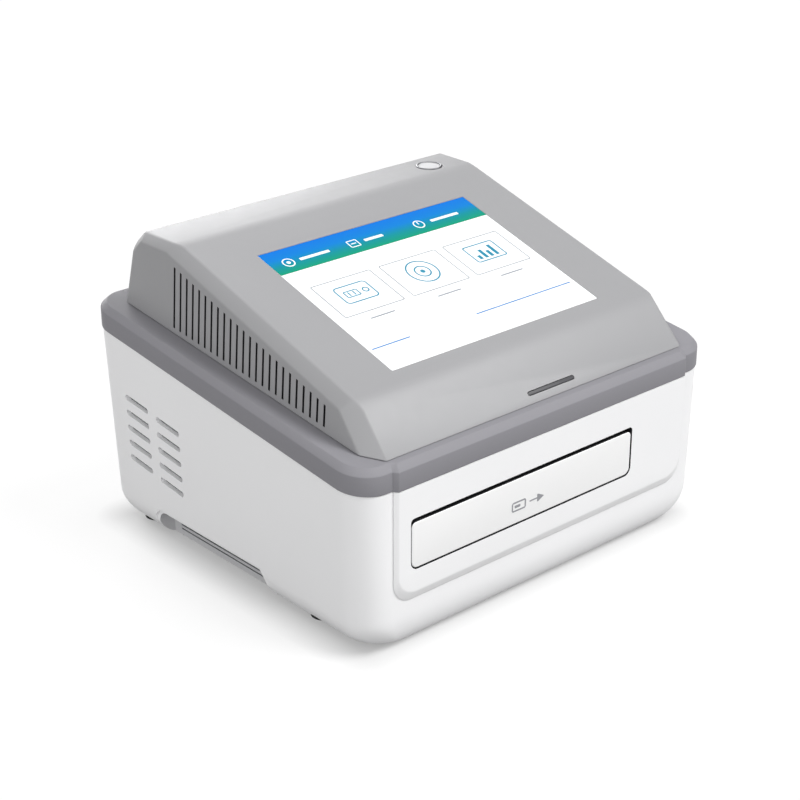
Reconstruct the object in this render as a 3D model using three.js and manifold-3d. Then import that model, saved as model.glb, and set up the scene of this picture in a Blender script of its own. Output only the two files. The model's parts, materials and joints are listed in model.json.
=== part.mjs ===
// A bench-top rapid test reader: a white lower housing with a push-to-open cassette drawer,
// a sloping grey band round its rim, and a grey console with a tilted touch screen.
// Millimetres, +X to the right, +Y to the back, +Z up.
// The origin is the middle of the footprint, on the surface that the reader stands on.
// Unless a name says otherwise, a depth is measured back from the foremost face of the reader.

import * as THREE from 'three';
import { mergeVertices } from 'three/addons/utils/BufferGeometryUtils.js';
import Module from 'manifold-3d';

const wasm = await Module();
wasm.setup();

// Driving dimensions

const body = {
	screenMargin: 57.9,     // from the picture's side to the outer side of the grey band
	footHeight: 2,          // the housing's floor stands this high on its feet
	panelProud: 2.5,        // the raised panel stands this far out of the front wall
};

const clearance = 0.3;      // between pieces that are fitted together
const overrun = 6;          // how far a cutting solid passes the face that it opens
const farAway = 600;        // reach of the half spaces that trim the console

const screen = {
	width: 161.2,
	height: 120,
	slopeDeg: 16.6,
	frontDepth: 42,         // lower edge of the picture
	frontZ: 143.9,
};

const band = {
	slopeDeg: 6.92,         // the rim falls towards the front
	frontZ: 98.3,           // lower edge at the foremost face
	face: 11.3,             // upright face
	chamfer: 3.6,
	cornerRadius: 19,
	panelHalf: 113.3,       // half width of the raised front part
	shelfInset: 28,         // inner edge of the ring at the front and the sides
	backShelf: 20,          // inner edge of the ring at the back
	holeRadius: 9,
	cornerSteps: 7,
};

const housing = {
	wall: 2.8,
	floor: 3,
	draftDeg: 1.7,
	bottomRadius: 20,
	frontRound: 8,          // the front wall rounds back only this far at its bottom
	bottomSteps: 6,
	reveal: 0.4,            // the band stands this far out over the wall at the back
	bossRadius: 4,
	bossInset: 23.5,
};

// The console is a convex shell bounded by flat faces
const shell = {
	footDepth: 7,           // front edge of its foot
	frontSlopeDeg: 48.5,
	kneeRadius: 22,         // between the steep front and the screen slope
	kneeSteps: 3,
	topRun: 26.2,           // from the picture's upper edge back to the level top
	topFlat: 32.3,          // depth of the level top
	topInset: 14.5,         // from its rear foot forward to the top's rear edge
	rearLedge: 16,          // the band shows this much behind it
	rearLeanDeg: 11,
	rearChamferDeg: 45,
	ledge: 14.5,            // the band shows this much beside it
	shoulder: 8.2,          // from the side's foot in to the edge of the upper faces
	sideLeanDeg: 4,
	cornerCut: 3,           // how far the upright rear corners are cut back
	wall: 2.6,
};

const radians = degrees => THREE.MathUtils.degToRad(degrees);
const pictureBackDepth = screen.frontDepth + screen.height * Math.cos(radians(screen.slopeDeg));
const topBackDepth = pictureBackDepth + shell.topRun + shell.topFlat;
const rearFootDepth = topBackDepth + shell.topInset;
const bodyDepth = rearFootDepth + shell.rearLedge;  // from the raised front panel to the back of the band
const frontY = -bodyDepth / 2;
const backY = bodyDepth / 2;
const halfWidth = screen.width / 2 + body.screenMargin;
const at = depth => frontY + depth;
const spanOf = (a, b) => [Math.min(a, b), Math.max(a, b)];
const bandRise = Math.tan(radians(band.slopeDeg));
const bandTopRel = band.face + band.chamfer;
const bandZ = (depth, rel = 0) => band.frontZ + depth * bandRise + rel;
const screenRise = Math.tan(radians(screen.slopeDeg));
const screenZ = depth => screen.frontZ + (depth - screen.frontDepth) * screenRise;

// Solids from three.js geometry, joined and cut as closed bodies

function solidOf(geometry) {
	const bare = geometry.clone();
	for (const name of Object.keys(bare.attributes)) {
		if (name !== 'position') bare.deleteAttribute(name);
	}
	const merged = mergeVertices(bare, 1e-5);
	return new wasm.Manifold(new wasm.Mesh({
		numProp: 3,
		vertProperties: new Float32Array(merged.attributes.position.array),
		triVerts: new Uint32Array(merged.index.array),
	}));
}

function geometryOf(solid) {
	const mesh = solid.getMesh();
	const geometry = new THREE.BufferGeometry();
	geometry.setAttribute('position', new THREE.BufferAttribute(new Float32Array(mesh.vertProperties), 3));
	geometry.setIndex(new THREE.BufferAttribute(new Uint32Array(mesh.triVerts), 1));
	geometry.computeVertexNormals();
	return geometry;
}

const join = (first, ...others) => others.reduce((whole, other) => whole.add(other), first);
const cut = (first, ...others) => others.reduce((whole, other) => whole.subtract(other), first);

function block(xLow, xHigh, yLow, yHigh, zLow, zHigh) {
	const geometry = new THREE.BoxGeometry(xHigh - xLow, yHigh - yLow, zHigh - zLow);
	geometry.translate((xLow + xHigh) / 2, (yLow + yHigh) / 2, (zLow + zHigh) / 2);
	return solidOf(geometry);
}

// A cylinder, or a cone with a second radius, along an axis from one place to another
function rod(axis, radius, from, to, across, endRadius = radius, sides = 24) {
	const geometry = new THREE.CylinderGeometry(endRadius, radius, to - from, sides);
	geometry.translate(0, (from + to) / 2, 0);
	if (axis === 'x') geometry.rotateZ(-Math.PI / 2).translate(0, across[0], across[1]);
	if (axis === 'y') geometry.translate(across[0], 0, across[1]);
	if (axis === 'z') geometry.rotateX(Math.PI / 2).translate(across[0], across[1], 0);
	return solidOf(geometry);
}

// A ring along an axis
function tube(axis, outer, inner, from, to, across, sides = 24) {
	return cut(rod(axis, outer, from, to, across, outer, sides),
		rod(axis, inner, from - overrun, to + overrun, across, inner, sides));
}

const shapeOf = outline => outline instanceof THREE.Shape
	? outline : new THREE.Shape(outline.map(place => new THREE.Vector2(...place)));

// An outline given as [y, z] places, drawn out along X
function alongX(outline, xLow, xHigh, curveSegments = 5) {
	const geometry = new THREE.ExtrudeGeometry(shapeOf(outline),
		{ depth: xHigh - xLow, bevelEnabled: false, curveSegments });
	geometry.applyMatrix4(new THREE.Matrix4().makeBasis(
		new THREE.Vector3(0, 1, 0), new THREE.Vector3(0, 0, 1), new THREE.Vector3(1, 0, 0)));
	geometry.translate(xLow, 0, 0);
	return solidOf(geometry);
}

// An outline given as [x, z] places, drawn out along Y
function alongY(outline, yLow, yHigh, curveSegments = 5) {
	const geometry = new THREE.ExtrudeGeometry(shapeOf(outline),
		{ depth: yHigh - yLow, bevelEnabled: false, curveSegments });
	geometry.applyMatrix4(new THREE.Matrix4().makeBasis(
		new THREE.Vector3(1, 0, 0), new THREE.Vector3(0, 0, 1), new THREE.Vector3(0, -1, 0)));
	geometry.translate(0, yHigh, 0);
	return solidOf(geometry);
}

function roundedShape(low, high, bottom, top, bottomRadius, topRadius) {
	const shape = new THREE.Shape();
	shape.moveTo(low + bottomRadius, bottom);
	shape.lineTo(high - bottomRadius, bottom);
	shape.absarc(high - bottomRadius, bottom + bottomRadius, bottomRadius, -Math.PI / 2, 0, false);
	shape.lineTo(high, top - topRadius);
	shape.absarc(high - topRadius, top - topRadius, topRadius, 0, Math.PI / 2, false);
	shape.lineTo(low + topRadius, top);
	shape.absarc(low + topRadius, top - topRadius, topRadius, Math.PI / 2, Math.PI, false);
	shape.lineTo(low, bottom + bottomRadius);
	shape.absarc(low + bottomRadius, bottom + bottomRadius, bottomRadius, Math.PI, Math.PI * 1.5, false);
	return shape;
}

// A plate that narrows from one outline at its back to a smaller one, with as many points, at its front
function tapered(backShape, frontShape, yFront, yBack, curveSegments = 6) {
	const outlines = [backShape, frontShape].map(shape => shape.getPoints(curveSegments).slice(0, -1));
	const count = outlines[0].length;
	const positions = [];
	outlines.forEach((outline, level) => {
		for (const point of outline) positions.push(point.x, level === 0 ? yBack : yFront, point.y);
	});
	const indices = [];
	for (let i = 0; i < count; i++) {
		const next = (i + 1) % count;
		indices.push(i, next, next + count, i, next + count, i + count);
	}
	for (const [a, b, c] of THREE.ShapeUtils.triangulateShape(outlines[0], [])) indices.push(a, c, b);
	for (const [a, b, c] of THREE.ShapeUtils.triangulateShape(outlines[1], [])) {
		indices.push(a + count, b + count, c + count);
	}
	const geometry = new THREE.BufferGeometry();
	geometry.setAttribute('position', new THREE.Float32BufferAttribute(positions, 3));
	geometry.setIndex(indices);
	return solidOf(geometry);
}

// A body lofted through rounded rectangles; each section is placed by its insets from the body's outline
function loft(sections, steps = band.cornerSteps) {
	const positions = [];
	const indices = [];
	const count = 4 * (steps + 1);
	for (const section of sections) {
		const { side, front, back, radius, height } = section;
		const corners = [
			[halfWidth - side - radius, frontY + front + radius, -Math.PI / 2],
			[halfWidth - side - radius, backY - back - radius, 0],
			[-halfWidth + side + radius, backY - back - radius, Math.PI / 2],
			[-halfWidth + side + radius, frontY + front + radius, Math.PI],
		];
		for (const [x, y, start] of corners) {
			for (let step = 0; step <= steps; step++) {
				const angle = start + step / steps * Math.PI / 2;
				const py = y + radius * Math.sin(angle);
				positions.push(x + radius * Math.cos(angle), py, height(py - frontY));
			}
		}
	}
	for (let level = 0; level + 1 < sections.length; level++) {
		for (let i = 0; i < count; i++) {
			const a = level * count + i;
			const b = level * count + (i + 1) % count;
			indices.push(a, b, b + count, a, b + count, a + count);
		}
	}
	const last = (sections.length - 1) * count;
	for (let i = 1; i + 1 < count; i++) {
		indices.push(0, i + 1, i, last, last + i, last + i + 1);
	}
	const geometry = new THREE.BufferGeometry();
	geometry.setAttribute('position', new THREE.Float32BufferAttribute(positions, 3));
	geometry.setIndex(indices);
	return solidOf(geometry);
}

// Materials

const finish = (color, roughness, metalness = 0) =>
	new THREE.MeshStandardMaterial({ color, roughness, metalness });
const whiteShell = finish(0xe9e9eb, 0.45);
const greyBand = finish(0x86858a, 0.5);
const greyConsole = finish(0xb4b4b6, 0.5);
const darkPlastic = finish(0x2b2c30, 0.6);
const boardGreen = finish(0x1f5a3c, 0.6);
const steel = finish(0xb9bcc0, 0.35, 1);
const glassBlack = finish(0xf4f8fb, 0.15);
const rubber = finish(0x222224, 0.9);
const smoked = finish(0x4a4a4e, 0.3);

const reader = new THREE.Group();

function place(name, solid, material, offset = [0, 0, 0]) {
	const mesh = new THREE.Mesh(geometryOf(solid), material);
	mesh.name = name;
	mesh.position.set(...offset);
	reader.add(mesh);
	return mesh;
}

// Lower housing: a moulded tub with drafted walls, cut off along the band's slope

const drawerBay = {
	leftInset: 33.5,        // from the band's left side to the drawer's opening
	rightInset: 70.1,
	bottom: 48.7,
	top: 79.5,
	bottomRadius: 5,
	topRadius: 2.5,
	collarWall: 2,
	collarDepth: 9,
};
const bayLeft = drawerBay.leftInset - halfWidth;
const bayRight = halfWidth - drawerBay.rightInset;

const lowerVent = {
	rows: 5,
	rowPitch: 9.8,
	length: 22.5,
	height: 3.5,
	endRadius: 1.6,
	columns: 2,
	belowBand: 35.8,        // from the band's lower edge to the top slot of the rear column
	columnDrop: 4.3,        // the front column sits lower
	rearInset: 42.4,        // from the back of the band to the middle of the rear column
	columnPitch: 30.1,
	zone: 6,                // margin of the dust filter round the slots
};
const ventDepth = column => bodyDepth - lowerVent.rearInset - column * lowerVent.columnPitch;
const ventZ = (column, row) => bandZ(ventDepth(0)) - lowerVent.belowBand
	- column * lowerVent.columnDrop - row * lowerVent.rowPitch;

const handPocket = {
	frontDepth: 79,
	length: 115,
	top: 23.2,
	frontRun: 12,           // the slanted front end takes this much of the length
	slant: 7,
	inward: 16,             // how deep the fingers reach under the wall
	lining: 2.5,
	backRadius: 9,
};

// The drawer and the push latch behind its tray
const drawer = {
	gap: 0.8,               // round the front, apart from its top
	topGap: 2.8,            // the finger gap above the front
	faceBack: 0.2,          // the face lies this far behind the raised panel
	frontThick: 3,
	frontTopRadius: 3,
	trayRise: 5.3,          // the tray's floor, up from the opening's lower edge
	trayFloor: 2.4,
	sideInset: 10.7,        // from the side of the opening in to the tray
	traySideHeight: 10,
	traySideThick: 3,
	trayDepth: 120,
	travel: 92,
	pressIn: 3,             // the front goes in this far to work the latch
};
const latch = {
	width: 16,
	depth: 26,
	height: 10,
	gap: 4,
	jaw: 6,
	jawDepth: 12,
	postWidth: 10,
	strikerWidth: 4.4,
	strikerHeight: 4,
	strikerReach: 4,        // into the jaw at rest
	strikerRoot: 12,        // on the tray's floor
};
const trayBackDepth = drawer.faceBack + drawer.frontThick + clearance + drawer.trayDepth;

// The power module and the circuit board fill the space between the latch and the rear wall
const latchBackGap = 2.5;
const rearSpace = trayBackDepth + latch.gap + latch.depth + latchBackGap;
const powerModule = { sideInset: 30.5, width: 62, backInset: 31, height: 34 };
const moduleLeft = powerModule.sideInset - halfWidth;
const moduleBack = bodyDepth - powerModule.backInset;

// The circuit board stands on pillars; the opening for its sockets follows it
const mainBoard = {
	moduleGap: 8,
	rightInset: 34.5,
	backInset: 18,
	bottom: 17,
	thick: 1.6,
	pillarRadius: 3,
	pillarInset: 6,
};
const boardBack = bodyDepth - mainBoard.backInset;
const boardLeft = moduleLeft + powerModule.width + mainBoard.moduleGap;
const boardRight = halfWidth - mainBoard.rightInset;
const rearOpening = { half: 58, below: 2, height: 26, reach: 18 };
const rearOpeningBottom = mainBoard.bottom - rearOpening.below;
const rearOpeningTop = rearOpeningBottom + rearOpening.height;

const draft = Math.tan(radians(housing.draftDeg));
const rimBackZ = bandZ(bodyDepth);
const wallTop = rimBackZ + overrun;
const wallInset = z => housing.reveal + (rimBackZ - z) * draft;
const innerWallX = z => halfWidth - wallInset(z) - housing.wall;

function tubForm(inset) {
	const sections = [];
	const radius = housing.bottomRadius - inset;
	const frontRound = housing.frontRound - inset;
	const low = body.footHeight + (inset > 0 ? housing.floor : inset);
	const centreZ = low + radius;
	const corner = band.cornerRadius - inset;
	for (let step = 0; step <= housing.bottomSteps; step++) {
		const angle = step / housing.bottomSteps * Math.PI / 2;
		const z = centreZ - radius * Math.cos(angle);
		const share = 1 - Math.sin(angle);
		const inward = wallInset(centreZ) + inset + radius * share;
		sections.push({
			side: inward,
			back: inward,
			front: body.panelProud + inset + frontRound * share,
			radius: corner,
			height: () => z,
		});
	}
	sections.push({
		side: wallInset(wallTop) + inset,
		back: wallInset(wallTop) + inset,
		front: body.panelProud + inset,
		radius: corner,
		height: () => wallTop,
	});
	return loft(sections);
}

// Everything on one side of a plane that follows the band's slope
const pastRim = (rel, far) => alongX([
	[frontY - overrun, bandZ(-overrun, rel)],
	[backY + overrun, bandZ(bodyDepth + overrun, rel)],
	[backY + overrun, far],
	[frontY - overrun, far],
], -halfWidth - overrun, halfWidth + overrun);
const aboveBand = pastRim(-clearance, farAway);

function ventSlots(side) {
	const slots = [];
	const inner = innerWallX(ventZ(0, lowerVent.rows)) - overrun;
	const [low, high] = spanOf(side * (halfWidth + overrun), side * inner);
	for (let column = 0; column < lowerVent.columns; column++) {
		for (let row = 0; row < lowerVent.rows; row++) {
			const middle = at(ventDepth(column));
			const z = ventZ(column, row);
			const half = lowerVent.length / 2;
			const round = lowerVent.height / 2;
			const outline = roundedShape(-half, half, -round, round, lowerVent.endRadius, lowerVent.endRadius);
			slots.push(alongX(outline, low, high, 2).rotate([band.slopeDeg, 0, 0]).translate([0, middle, z]));
		}
	}
	return slots;
}

function pocketOutline(extra, bottom) {
	const front = at(handPocket.frontDepth) - extra;
	const roof = at(handPocket.frontDepth + handPocket.frontRun) - extra / 2;
	const back = at(handPocket.frontDepth + handPocket.length) + extra;
	const top = handPocket.top + extra;
	const shape = new THREE.Shape();
	shape.moveTo(front, bottom);
	shape.lineTo(front, top - 2 * handPocket.slant);
	shape.lineTo(front + handPocket.slant, top - handPocket.slant);
	shape.lineTo(roof, top);
	shape.lineTo(back - handPocket.backRadius, top);
	shape.absarc(back - handPocket.backRadius, top - handPocket.backRadius, handPocket.backRadius,
		Math.PI / 2, 0, true);
	shape.lineTo(back, bottom);
	return shape;
}

const pocketInner = halfWidth - handPocket.inward;
const pocketBox = side => alongX(pocketOutline(handPocket.lining, body.footHeight),
	...spanOf(side * halfWidth, side * (pocketInner - handPocket.lining)));
const pocketCut = side => alongX(pocketOutline(0, -overrun),
	...spanOf(side * (halfWidth + overrun), side * pocketInner));

// The drawer's opening, made larger all round
const bayShape = extra => roundedShape(bayLeft - extra, bayRight + extra,
	drawerBay.bottom - extra, drawerBay.top + extra, drawerBay.bottomRadius + extra, drawerBay.topRadius + extra);
const bayCut = alongY(bayShape(drawerBay.collarWall + clearance), frontY - overrun,
	at(body.panelProud + housing.wall + overrun));

const rearCut = block(-rearOpening.half, rearOpening.half, backY - rearOpening.reach, backY + overrun,
	rearOpeningBottom, rearOpeningTop);

const floorTop = body.footHeight + housing.floor;

// Screw bosses in the four corners, joined to the tub's floor and hollow for the case screws
const bossPlaces = [];
for (const depth of [body.panelProud + housing.bossInset, bodyDepth - housing.bossInset]) {
	for (const side of [-1, 1]) {
		bossPlaces.push({ depth, x: side * (halfWidth - housing.bossInset) });
	}
}

const caseScrew = { radius: 1.5, headRadius: 2.9, headHeight: 2.2, rise: 20, access: 3.3, tipGap: 3 };

let tub = cut(tubForm(0), tubForm(housing.wall));
for (const side of [-1, 1]) {
	tub = tub.add(pocketBox(side).intersect(tubForm(0)));
}
for (const { x, depth } of bossPlaces) {
	tub = tub.add(rod('z', housing.bossRadius, body.footHeight + housing.floor / 2,
		bandZ(depth) + overrun, [x, at(depth)], housing.bossRadius, 16));
}

// Pillars on the tub's floor that carry the circuit board, each joined to the floor
for (const x of [boardLeft + mainBoard.pillarInset, boardRight - mainBoard.pillarInset]) {
	for (const depth of [rearSpace + mainBoard.pillarInset, boardBack - mainBoard.pillarInset]) {
		tub = tub.add(rod('z', mainBoard.pillarRadius, body.footHeight + housing.floor / 2,
			mainBoard.bottom - clearance, [x, at(depth)], mainBoard.pillarRadius, 12));
	}
}

tub = cut(tub, aboveBand, bayCut, rearCut, pocketCut(-1), pocketCut(1), ...ventSlots(-1), ...ventSlots(1));
for (const { x, depth } of bossPlaces) {
	const screwHole = caseScrew.radius + clearance;
	tub = cut(tub, rod('z', screwHole, -overrun, farAway, [x, at(depth)], screwHole, 12),
		rod('z', caseScrew.access, -overrun, floorTop + caseScrew.rise, [x, at(depth)], caseScrew.access, 12));
}
place('lower_housing', tub, whiteShell);

// Raised front panel with the drawer's collar

const panel = {
	bottom: 30,             // where its chamfer meets the housing
	cornerRadius: 13,
	chamfer: 2.4,           // at its sides
	bottomChamfer: 5.4,
	faceRadius: 10,
};

function frontPanel() {
	const outerHalf = band.panelHalf + panel.chamfer;
	const top = bandZ(0) + overrun;
	const plate = tapered(
		roundedShape(-outerHalf, outerHalf, panel.bottom, top, panel.cornerRadius, clearance),
		roundedShape(-band.panelHalf, band.panelHalf, panel.bottom + panel.bottomChamfer, top,
			panel.faceRadius, clearance),
		frontY, at(body.panelProud - clearance));
	const collar = alongY(bayShape(drawerBay.collarWall), at(body.panelProud / 2), at(drawerBay.collarDepth));
	const opening = alongY(bayShape(0), frontY - overrun, at(drawerBay.collarDepth + overrun));
	return cut(join(plate, collar), opening, aboveBand);
}
place('front_panel', frontPanel(), whiteShell);

// Grey band: a ring that follows the sloping rim, with a chamfered top edge and a raised front part

// Both are made too high and too low, then trimmed together
function bandRing() {
	const past = band.chamfer + overrun;
	const seat = body.panelProud + past;
	const plan = inset => ({
		side: inset,
		front: body.panelProud + inset,
		back: inset,
		radius: band.cornerRadius - inset,
	});
	const outer = loft([
		{ ...plan(0), height: depth => bandZ(depth, -overrun) },
		{ ...plan(0), height: depth => bandZ(depth, band.face) },
		{ ...plan(past), height: depth => bandZ(depth, band.face + past) },
	]);
	const raised = (low, high, inset) => alongX([
		[frontY + inset, bandZ(inset, -overrun)],
		[at(seat), bandZ(seat, -overrun)],
		[at(seat), bandZ(seat, band.face + past)],
		[frontY + inset + past, bandZ(inset + past, band.face + past)],
		[frontY + inset, bandZ(inset, band.face)],
	], low, high);
	const steps = 4;
	let front = raised(-band.panelHalf, band.panelHalf, 0);
	for (let step = 1; step <= steps; step++) {
		const out = panel.chamfer * step / steps;
		front = front.add(raised(-band.panelHalf - out, band.panelHalf + out, out));
	}
	const inner = { side: band.shelfInset, front: band.shelfInset, back: band.backShelf, radius: band.holeRadius };
	const hole = loft([
		{ ...inner, height: depth => bandZ(depth, -overrun) },
		{ ...inner, height: depth => bandZ(depth, bandTopRel + overrun) },
	]);
	let ring = cut(join(outer, front), hole, pastRim(bandTopRel, farAway), pastRim(0, -farAway));
	for (const { x, depth } of bossPlaces) {
		ring = ring.subtract(rod('z', caseScrew.radius + clearance, -overrun, bandZ(depth, band.face),
			[x, at(depth)], caseScrew.radius + clearance, 12));
	}
	return ring;
}
place('band_frame', bandRing(), greyBand);

// Console: chamfers lie between its top faces and its sides

const footRel = bandTopRel + clearance;
const footHalf = halfWidth - shell.ledge;
const topHalf = footHalf - shell.shoulder;
const topZ = screenZ(pictureBackDepth + shell.topRun);

// Everything on the outer side of a plane, as a large block turned to face it
function beyond(point, normal) {
	const towards = new THREE.Vector3(...normal).normalize();
	const geometry = new THREE.BoxGeometry(farAway * 2, farAway * 2, farAway);
	geometry.translate(0, 0, farAway / 2);
	geometry.applyQuaternion(new THREE.Quaternion().setFromUnitVectors(new THREE.Vector3(0, 0, 1), towards));
	geometry.translate(...point);
	return solidOf(geometry);
}

// The faces of the profile from the foot's front edge over the top to the rear, as depth, height and slope
function profileFaces() {
	const steep = radians(shell.frontSlopeDeg);
	const gentle = radians(screen.slopeDeg);
	const footZ = bandZ(shell.footDepth, footRel);
	const steepRise = Math.tan(steep);
	const kneeDepth = (screenZ(0) - footZ + shell.footDepth * steepRise) / (steepRise - screenRise);
	const kneeZ = screenZ(kneeDepth);
	const half = (steep + gentle) / 2;
	const reach = shell.kneeRadius / Math.cos((steep - gentle) / 2);
	const centreDepth = kneeDepth + reach * Math.sin(half);
	const centreZ = kneeZ - reach * Math.cos(half);
	const faces = [{ depth: shell.footDepth, z: footZ, slope: steep }];
	for (let step = 1; step <= shell.kneeSteps; step++) {
		const slope = steep + (gentle - steep) * step / (shell.kneeSteps + 1);
		faces.push({
			depth: centreDepth - shell.kneeRadius * Math.sin(slope),
			z: centreZ + shell.kneeRadius * Math.cos(slope),
			slope,
		});
	}
	faces.push({ depth: screen.frontDepth, z: screen.frontZ, slope: gentle });
	faces.push({ depth: topBackDepth, z: topZ, slope: 0 });
	faces.push({ depth: topBackDepth, z: topZ, slope: -radians(shell.rearChamferDeg) });
	const rearSlope = radians(shell.rearLeanDeg) - Math.PI / 2;
	faces.push({ depth: rearFootDepth, z: bandZ(rearFootDepth, footRel), slope: rearSlope });
	return faces;
}

const normalOf = slope => new THREE.Vector3(0, -Math.sin(slope), Math.cos(slope));

// The outward normal of a side face: it leans in as it rises, and its foot follows the band's slope
function sideNormal(side) {
	const lean = Math.tan(radians(shell.sideLeanDeg));
	return new THREE.Vector3(side, -lean * bandRise, lean).normalize();
}

const sideFoot = side => [side * footHalf, at(rearFootDepth), bandZ(rearFootDepth, footRel)];
const insetPoint = (point, normal, inset) =>
	new THREE.Vector3(...point).addScaledVector(normal, -inset).toArray();

function shellForm(inset) {
	let form = block(-halfWidth, halfWidth, frontY, backY, band.frontZ, topZ + overrun);
	const trim = (point, normal) => {
		form = form.subtract(beyond(insetPoint(point, normal, inset), normal.toArray()));
	};
	const faces = profileFaces();
	for (const face of faces) {
		trim([0, at(face.depth), face.z], normalOf(face.slope));
	}
	for (const side of [-1, 1]) {
		const outward = sideNormal(side);
		trim(sideFoot(side), outward);
		for (const face of faces) {
			const rear = face.slope < -Math.PI / 4;
			const slant = outward.clone().add(normalOf(face.slope)).normalize();
			const edge = rear ? footHalf - shell.cornerCut : topHalf;
			trim([side * edge, at(face.depth), face.z], slant);
		}
	}
	const below = inset > 0 ? overrun : 0;
	const foot = new THREE.Vector3(0, bandRise, -1).normalize();
	return form.subtract(beyond([0, frontY, bandZ(0, footRel) - below], foot.toArray()));
}

const sideSlot = {
	count: 24,
	firstDepth: 47.6,
	pitch: 5.76,
	width: 1.6,
	footMargin: 3.4,        // below the slots, up from the console's foot
	topMargin: 10.5,        // from the slots' tops up to the screen slope's level
};

function sideSlots(side) {
	const slots = [];
	for (let i = 0; i < sideSlot.count; i++) {
		const depth = sideSlot.firstDepth + i * sideSlot.pitch;
		const low = bandZ(depth, footRel + sideSlot.footMargin);
		const high = screenZ(depth) - sideSlot.topMargin;
		slots.push(block(...spanOf(side * (topHalf - overrun), side * (footHalf + overrun)),
			at(depth - sideSlot.width / 2), at(depth + sideSlot.width / 2), low, high));
	}
	return slots;
}

// A block lying on the screen slope: sizes along X and up the slope, and heights above the slope's face
function onSlope(xLow, xHigh, upLow, upHigh, low, high) {
	const geometry = new THREE.BoxGeometry(xHigh - xLow, upHigh - upLow, high - low);
	geometry.translate((xLow + xHigh) / 2, (upLow + upHigh) / 2, (low + high) / 2);
	geometry.rotateX(radians(screen.slopeDeg));
	geometry.translate(0, at(screen.frontDepth), screen.frontZ);
	return solidOf(geometry);
}

// The same on the console's steep front, up from its foot
function onFront(xLow, xHigh, upLow, upHigh, low, high) {
	const geometry = new THREE.BoxGeometry(xHigh - xLow, upHigh - upLow, high - low);
	geometry.translate((xLow + xHigh) / 2, (upLow + upHigh) / 2, (low + high) / 2);
	geometry.rotateX(radians(shell.frontSlopeDeg));
	geometry.translate(0, at(shell.footDepth), bandZ(shell.footDepth, footRel));
	return solidOf(geometry);
}

const indicator = {
	left: -8.3,
	length: 37.1,
	rise: 4.8,              // up the slope from the console's foot
	height: 2.8,
	thick: 2.2,
	boardThick: 1.6,
	boardRise: 0.6,         // from the lens's lower edge up to the lamp board's
	boardHeight: 5,
};

const powerButton = {
	sideInset: 24.5,        // from the edge of the top
	backInset: 16,          // from the rear edge of the top
	capRadius: 7,
	capHeight: 3.6,
	proud: 0.3,
	ringOuter: 8.6,
	ringInner: 7.3,
	ringProud: 0.5,
	ringDepth: 5,
	stemRadius: 1.6,
	travel: 1.5,
	switchHalf: 3,
	switchHeight: 3.4,
	boardBelow: 14,         // top of the switch board, below the console's top
	boardThick: 1.6,
	boardHalf: 13,
	postRadius: 2.4,
	springOuter: 5.6,
	springInner: 4.8,
};
const buttonAt = [topHalf - powerButton.sideInset, at(topBackDepth - powerButton.backInset)];
const [buttonX, buttonY] = buttonAt;
const switchBoardTop = topZ - powerButton.boardBelow;

function consoleShell() {
	const posts = [-1, 1].map(side => rod('z', powerButton.postRadius, switchBoardTop + clearance,
		topZ - shell.wall / 2, [buttonX + side * (powerButton.boardHalf - powerButton.postRadius), buttonY],
		powerButton.postRadius, 12));
	return cut(join(cut(shellForm(0), shellForm(shell.wall)), ...posts),
		onSlope(-screen.width / 2, screen.width / 2, 0, screen.height, -overrun, overrun),
		onFront(indicator.left, indicator.left + indicator.length, indicator.rise,
			indicator.rise + indicator.height, -overrun, overrun),
		rod('z', powerButton.ringOuter, topZ - powerButton.ringDepth, topZ + overrun, buttonAt),
		...sideSlots(-1), ...sideSlots(1));
}
place('console_shell', consoleShell(), greyConsole);

// Screen: a glass pane in the console's opening, the display behind it and the bracket that holds it

const glassPane = { thick: 2.9, below: 0.1 };
const display = { width: screen.width + 22, height: screen.height + 21, thick: 6 };
const bracket = { lip: 2, endLip: 2.5, thick: 1.2, windowShare: 0.72 };

const middleUp = screen.height / 2;
place('touch_glass', onSlope(-screen.width / 2 + clearance, screen.width / 2 - clearance, clearance,
	screen.height - clearance, -glassPane.below - glassPane.thick, -glassPane.below), glassBlack);

const displayTop = -glassPane.below - glassPane.thick - clearance;
place('display_module', onSlope(-display.width / 2, display.width / 2, middleUp - display.height / 2,
	middleUp + display.height / 2, displayTop - display.thick, displayTop), darkPlastic);

function displayBracket() {
	const top = displayTop - display.thick - clearance;
	const halfAcross = display.width / 2 + bracket.lip;
	const halfUp = display.height / 2 + bracket.endLip;
	const plate = onSlope(-halfAcross, halfAcross, middleUp - halfUp, middleUp + halfUp, top - bracket.thick, top);
	const share = bracket.windowShare;
	const window = onSlope(-halfAcross * share, halfAcross * share, middleUp - halfUp * share,
		middleUp + halfUp * share, top - overrun, top + overrun);
	const lips = [-1, 1].map(side => onSlope(...spanOf(side * (display.width / 2 + clearance), side * halfAcross),
		middleUp - display.height / 2, middleUp + display.height / 2, top - bracket.thick, displayTop));
	return join(cut(plate, window), ...lips);
}
place('display_bracket', displayBracket(), steel);

// Indicator: a dark lens let into the front slope, and the lamp board behind it

place('indicator_lens', onFront(indicator.left + clearance, indicator.left + indicator.length - clearance,
	indicator.rise + clearance, indicator.rise + indicator.height - clearance, -indicator.thick, 0), smoked);
const lampTop = -shell.wall - clearance;
const lampLow = indicator.rise + indicator.boardRise;
place('indicator_board', onFront(indicator.left, indicator.left + indicator.length, lampLow,
	lampLow + indicator.boardHeight, lampTop - indicator.boardThick, lampTop), boardGreen);

// Power button: a cap in a trim ring, on a spring over a switch

const ringRadius = powerButton.ringOuter - clearance;
place('button_ring', tube('z', ringRadius, powerButton.ringInner, topZ - powerButton.ringDepth + clearance,
	topZ + powerButton.ringProud, buttonAt, 32), steel);

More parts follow.
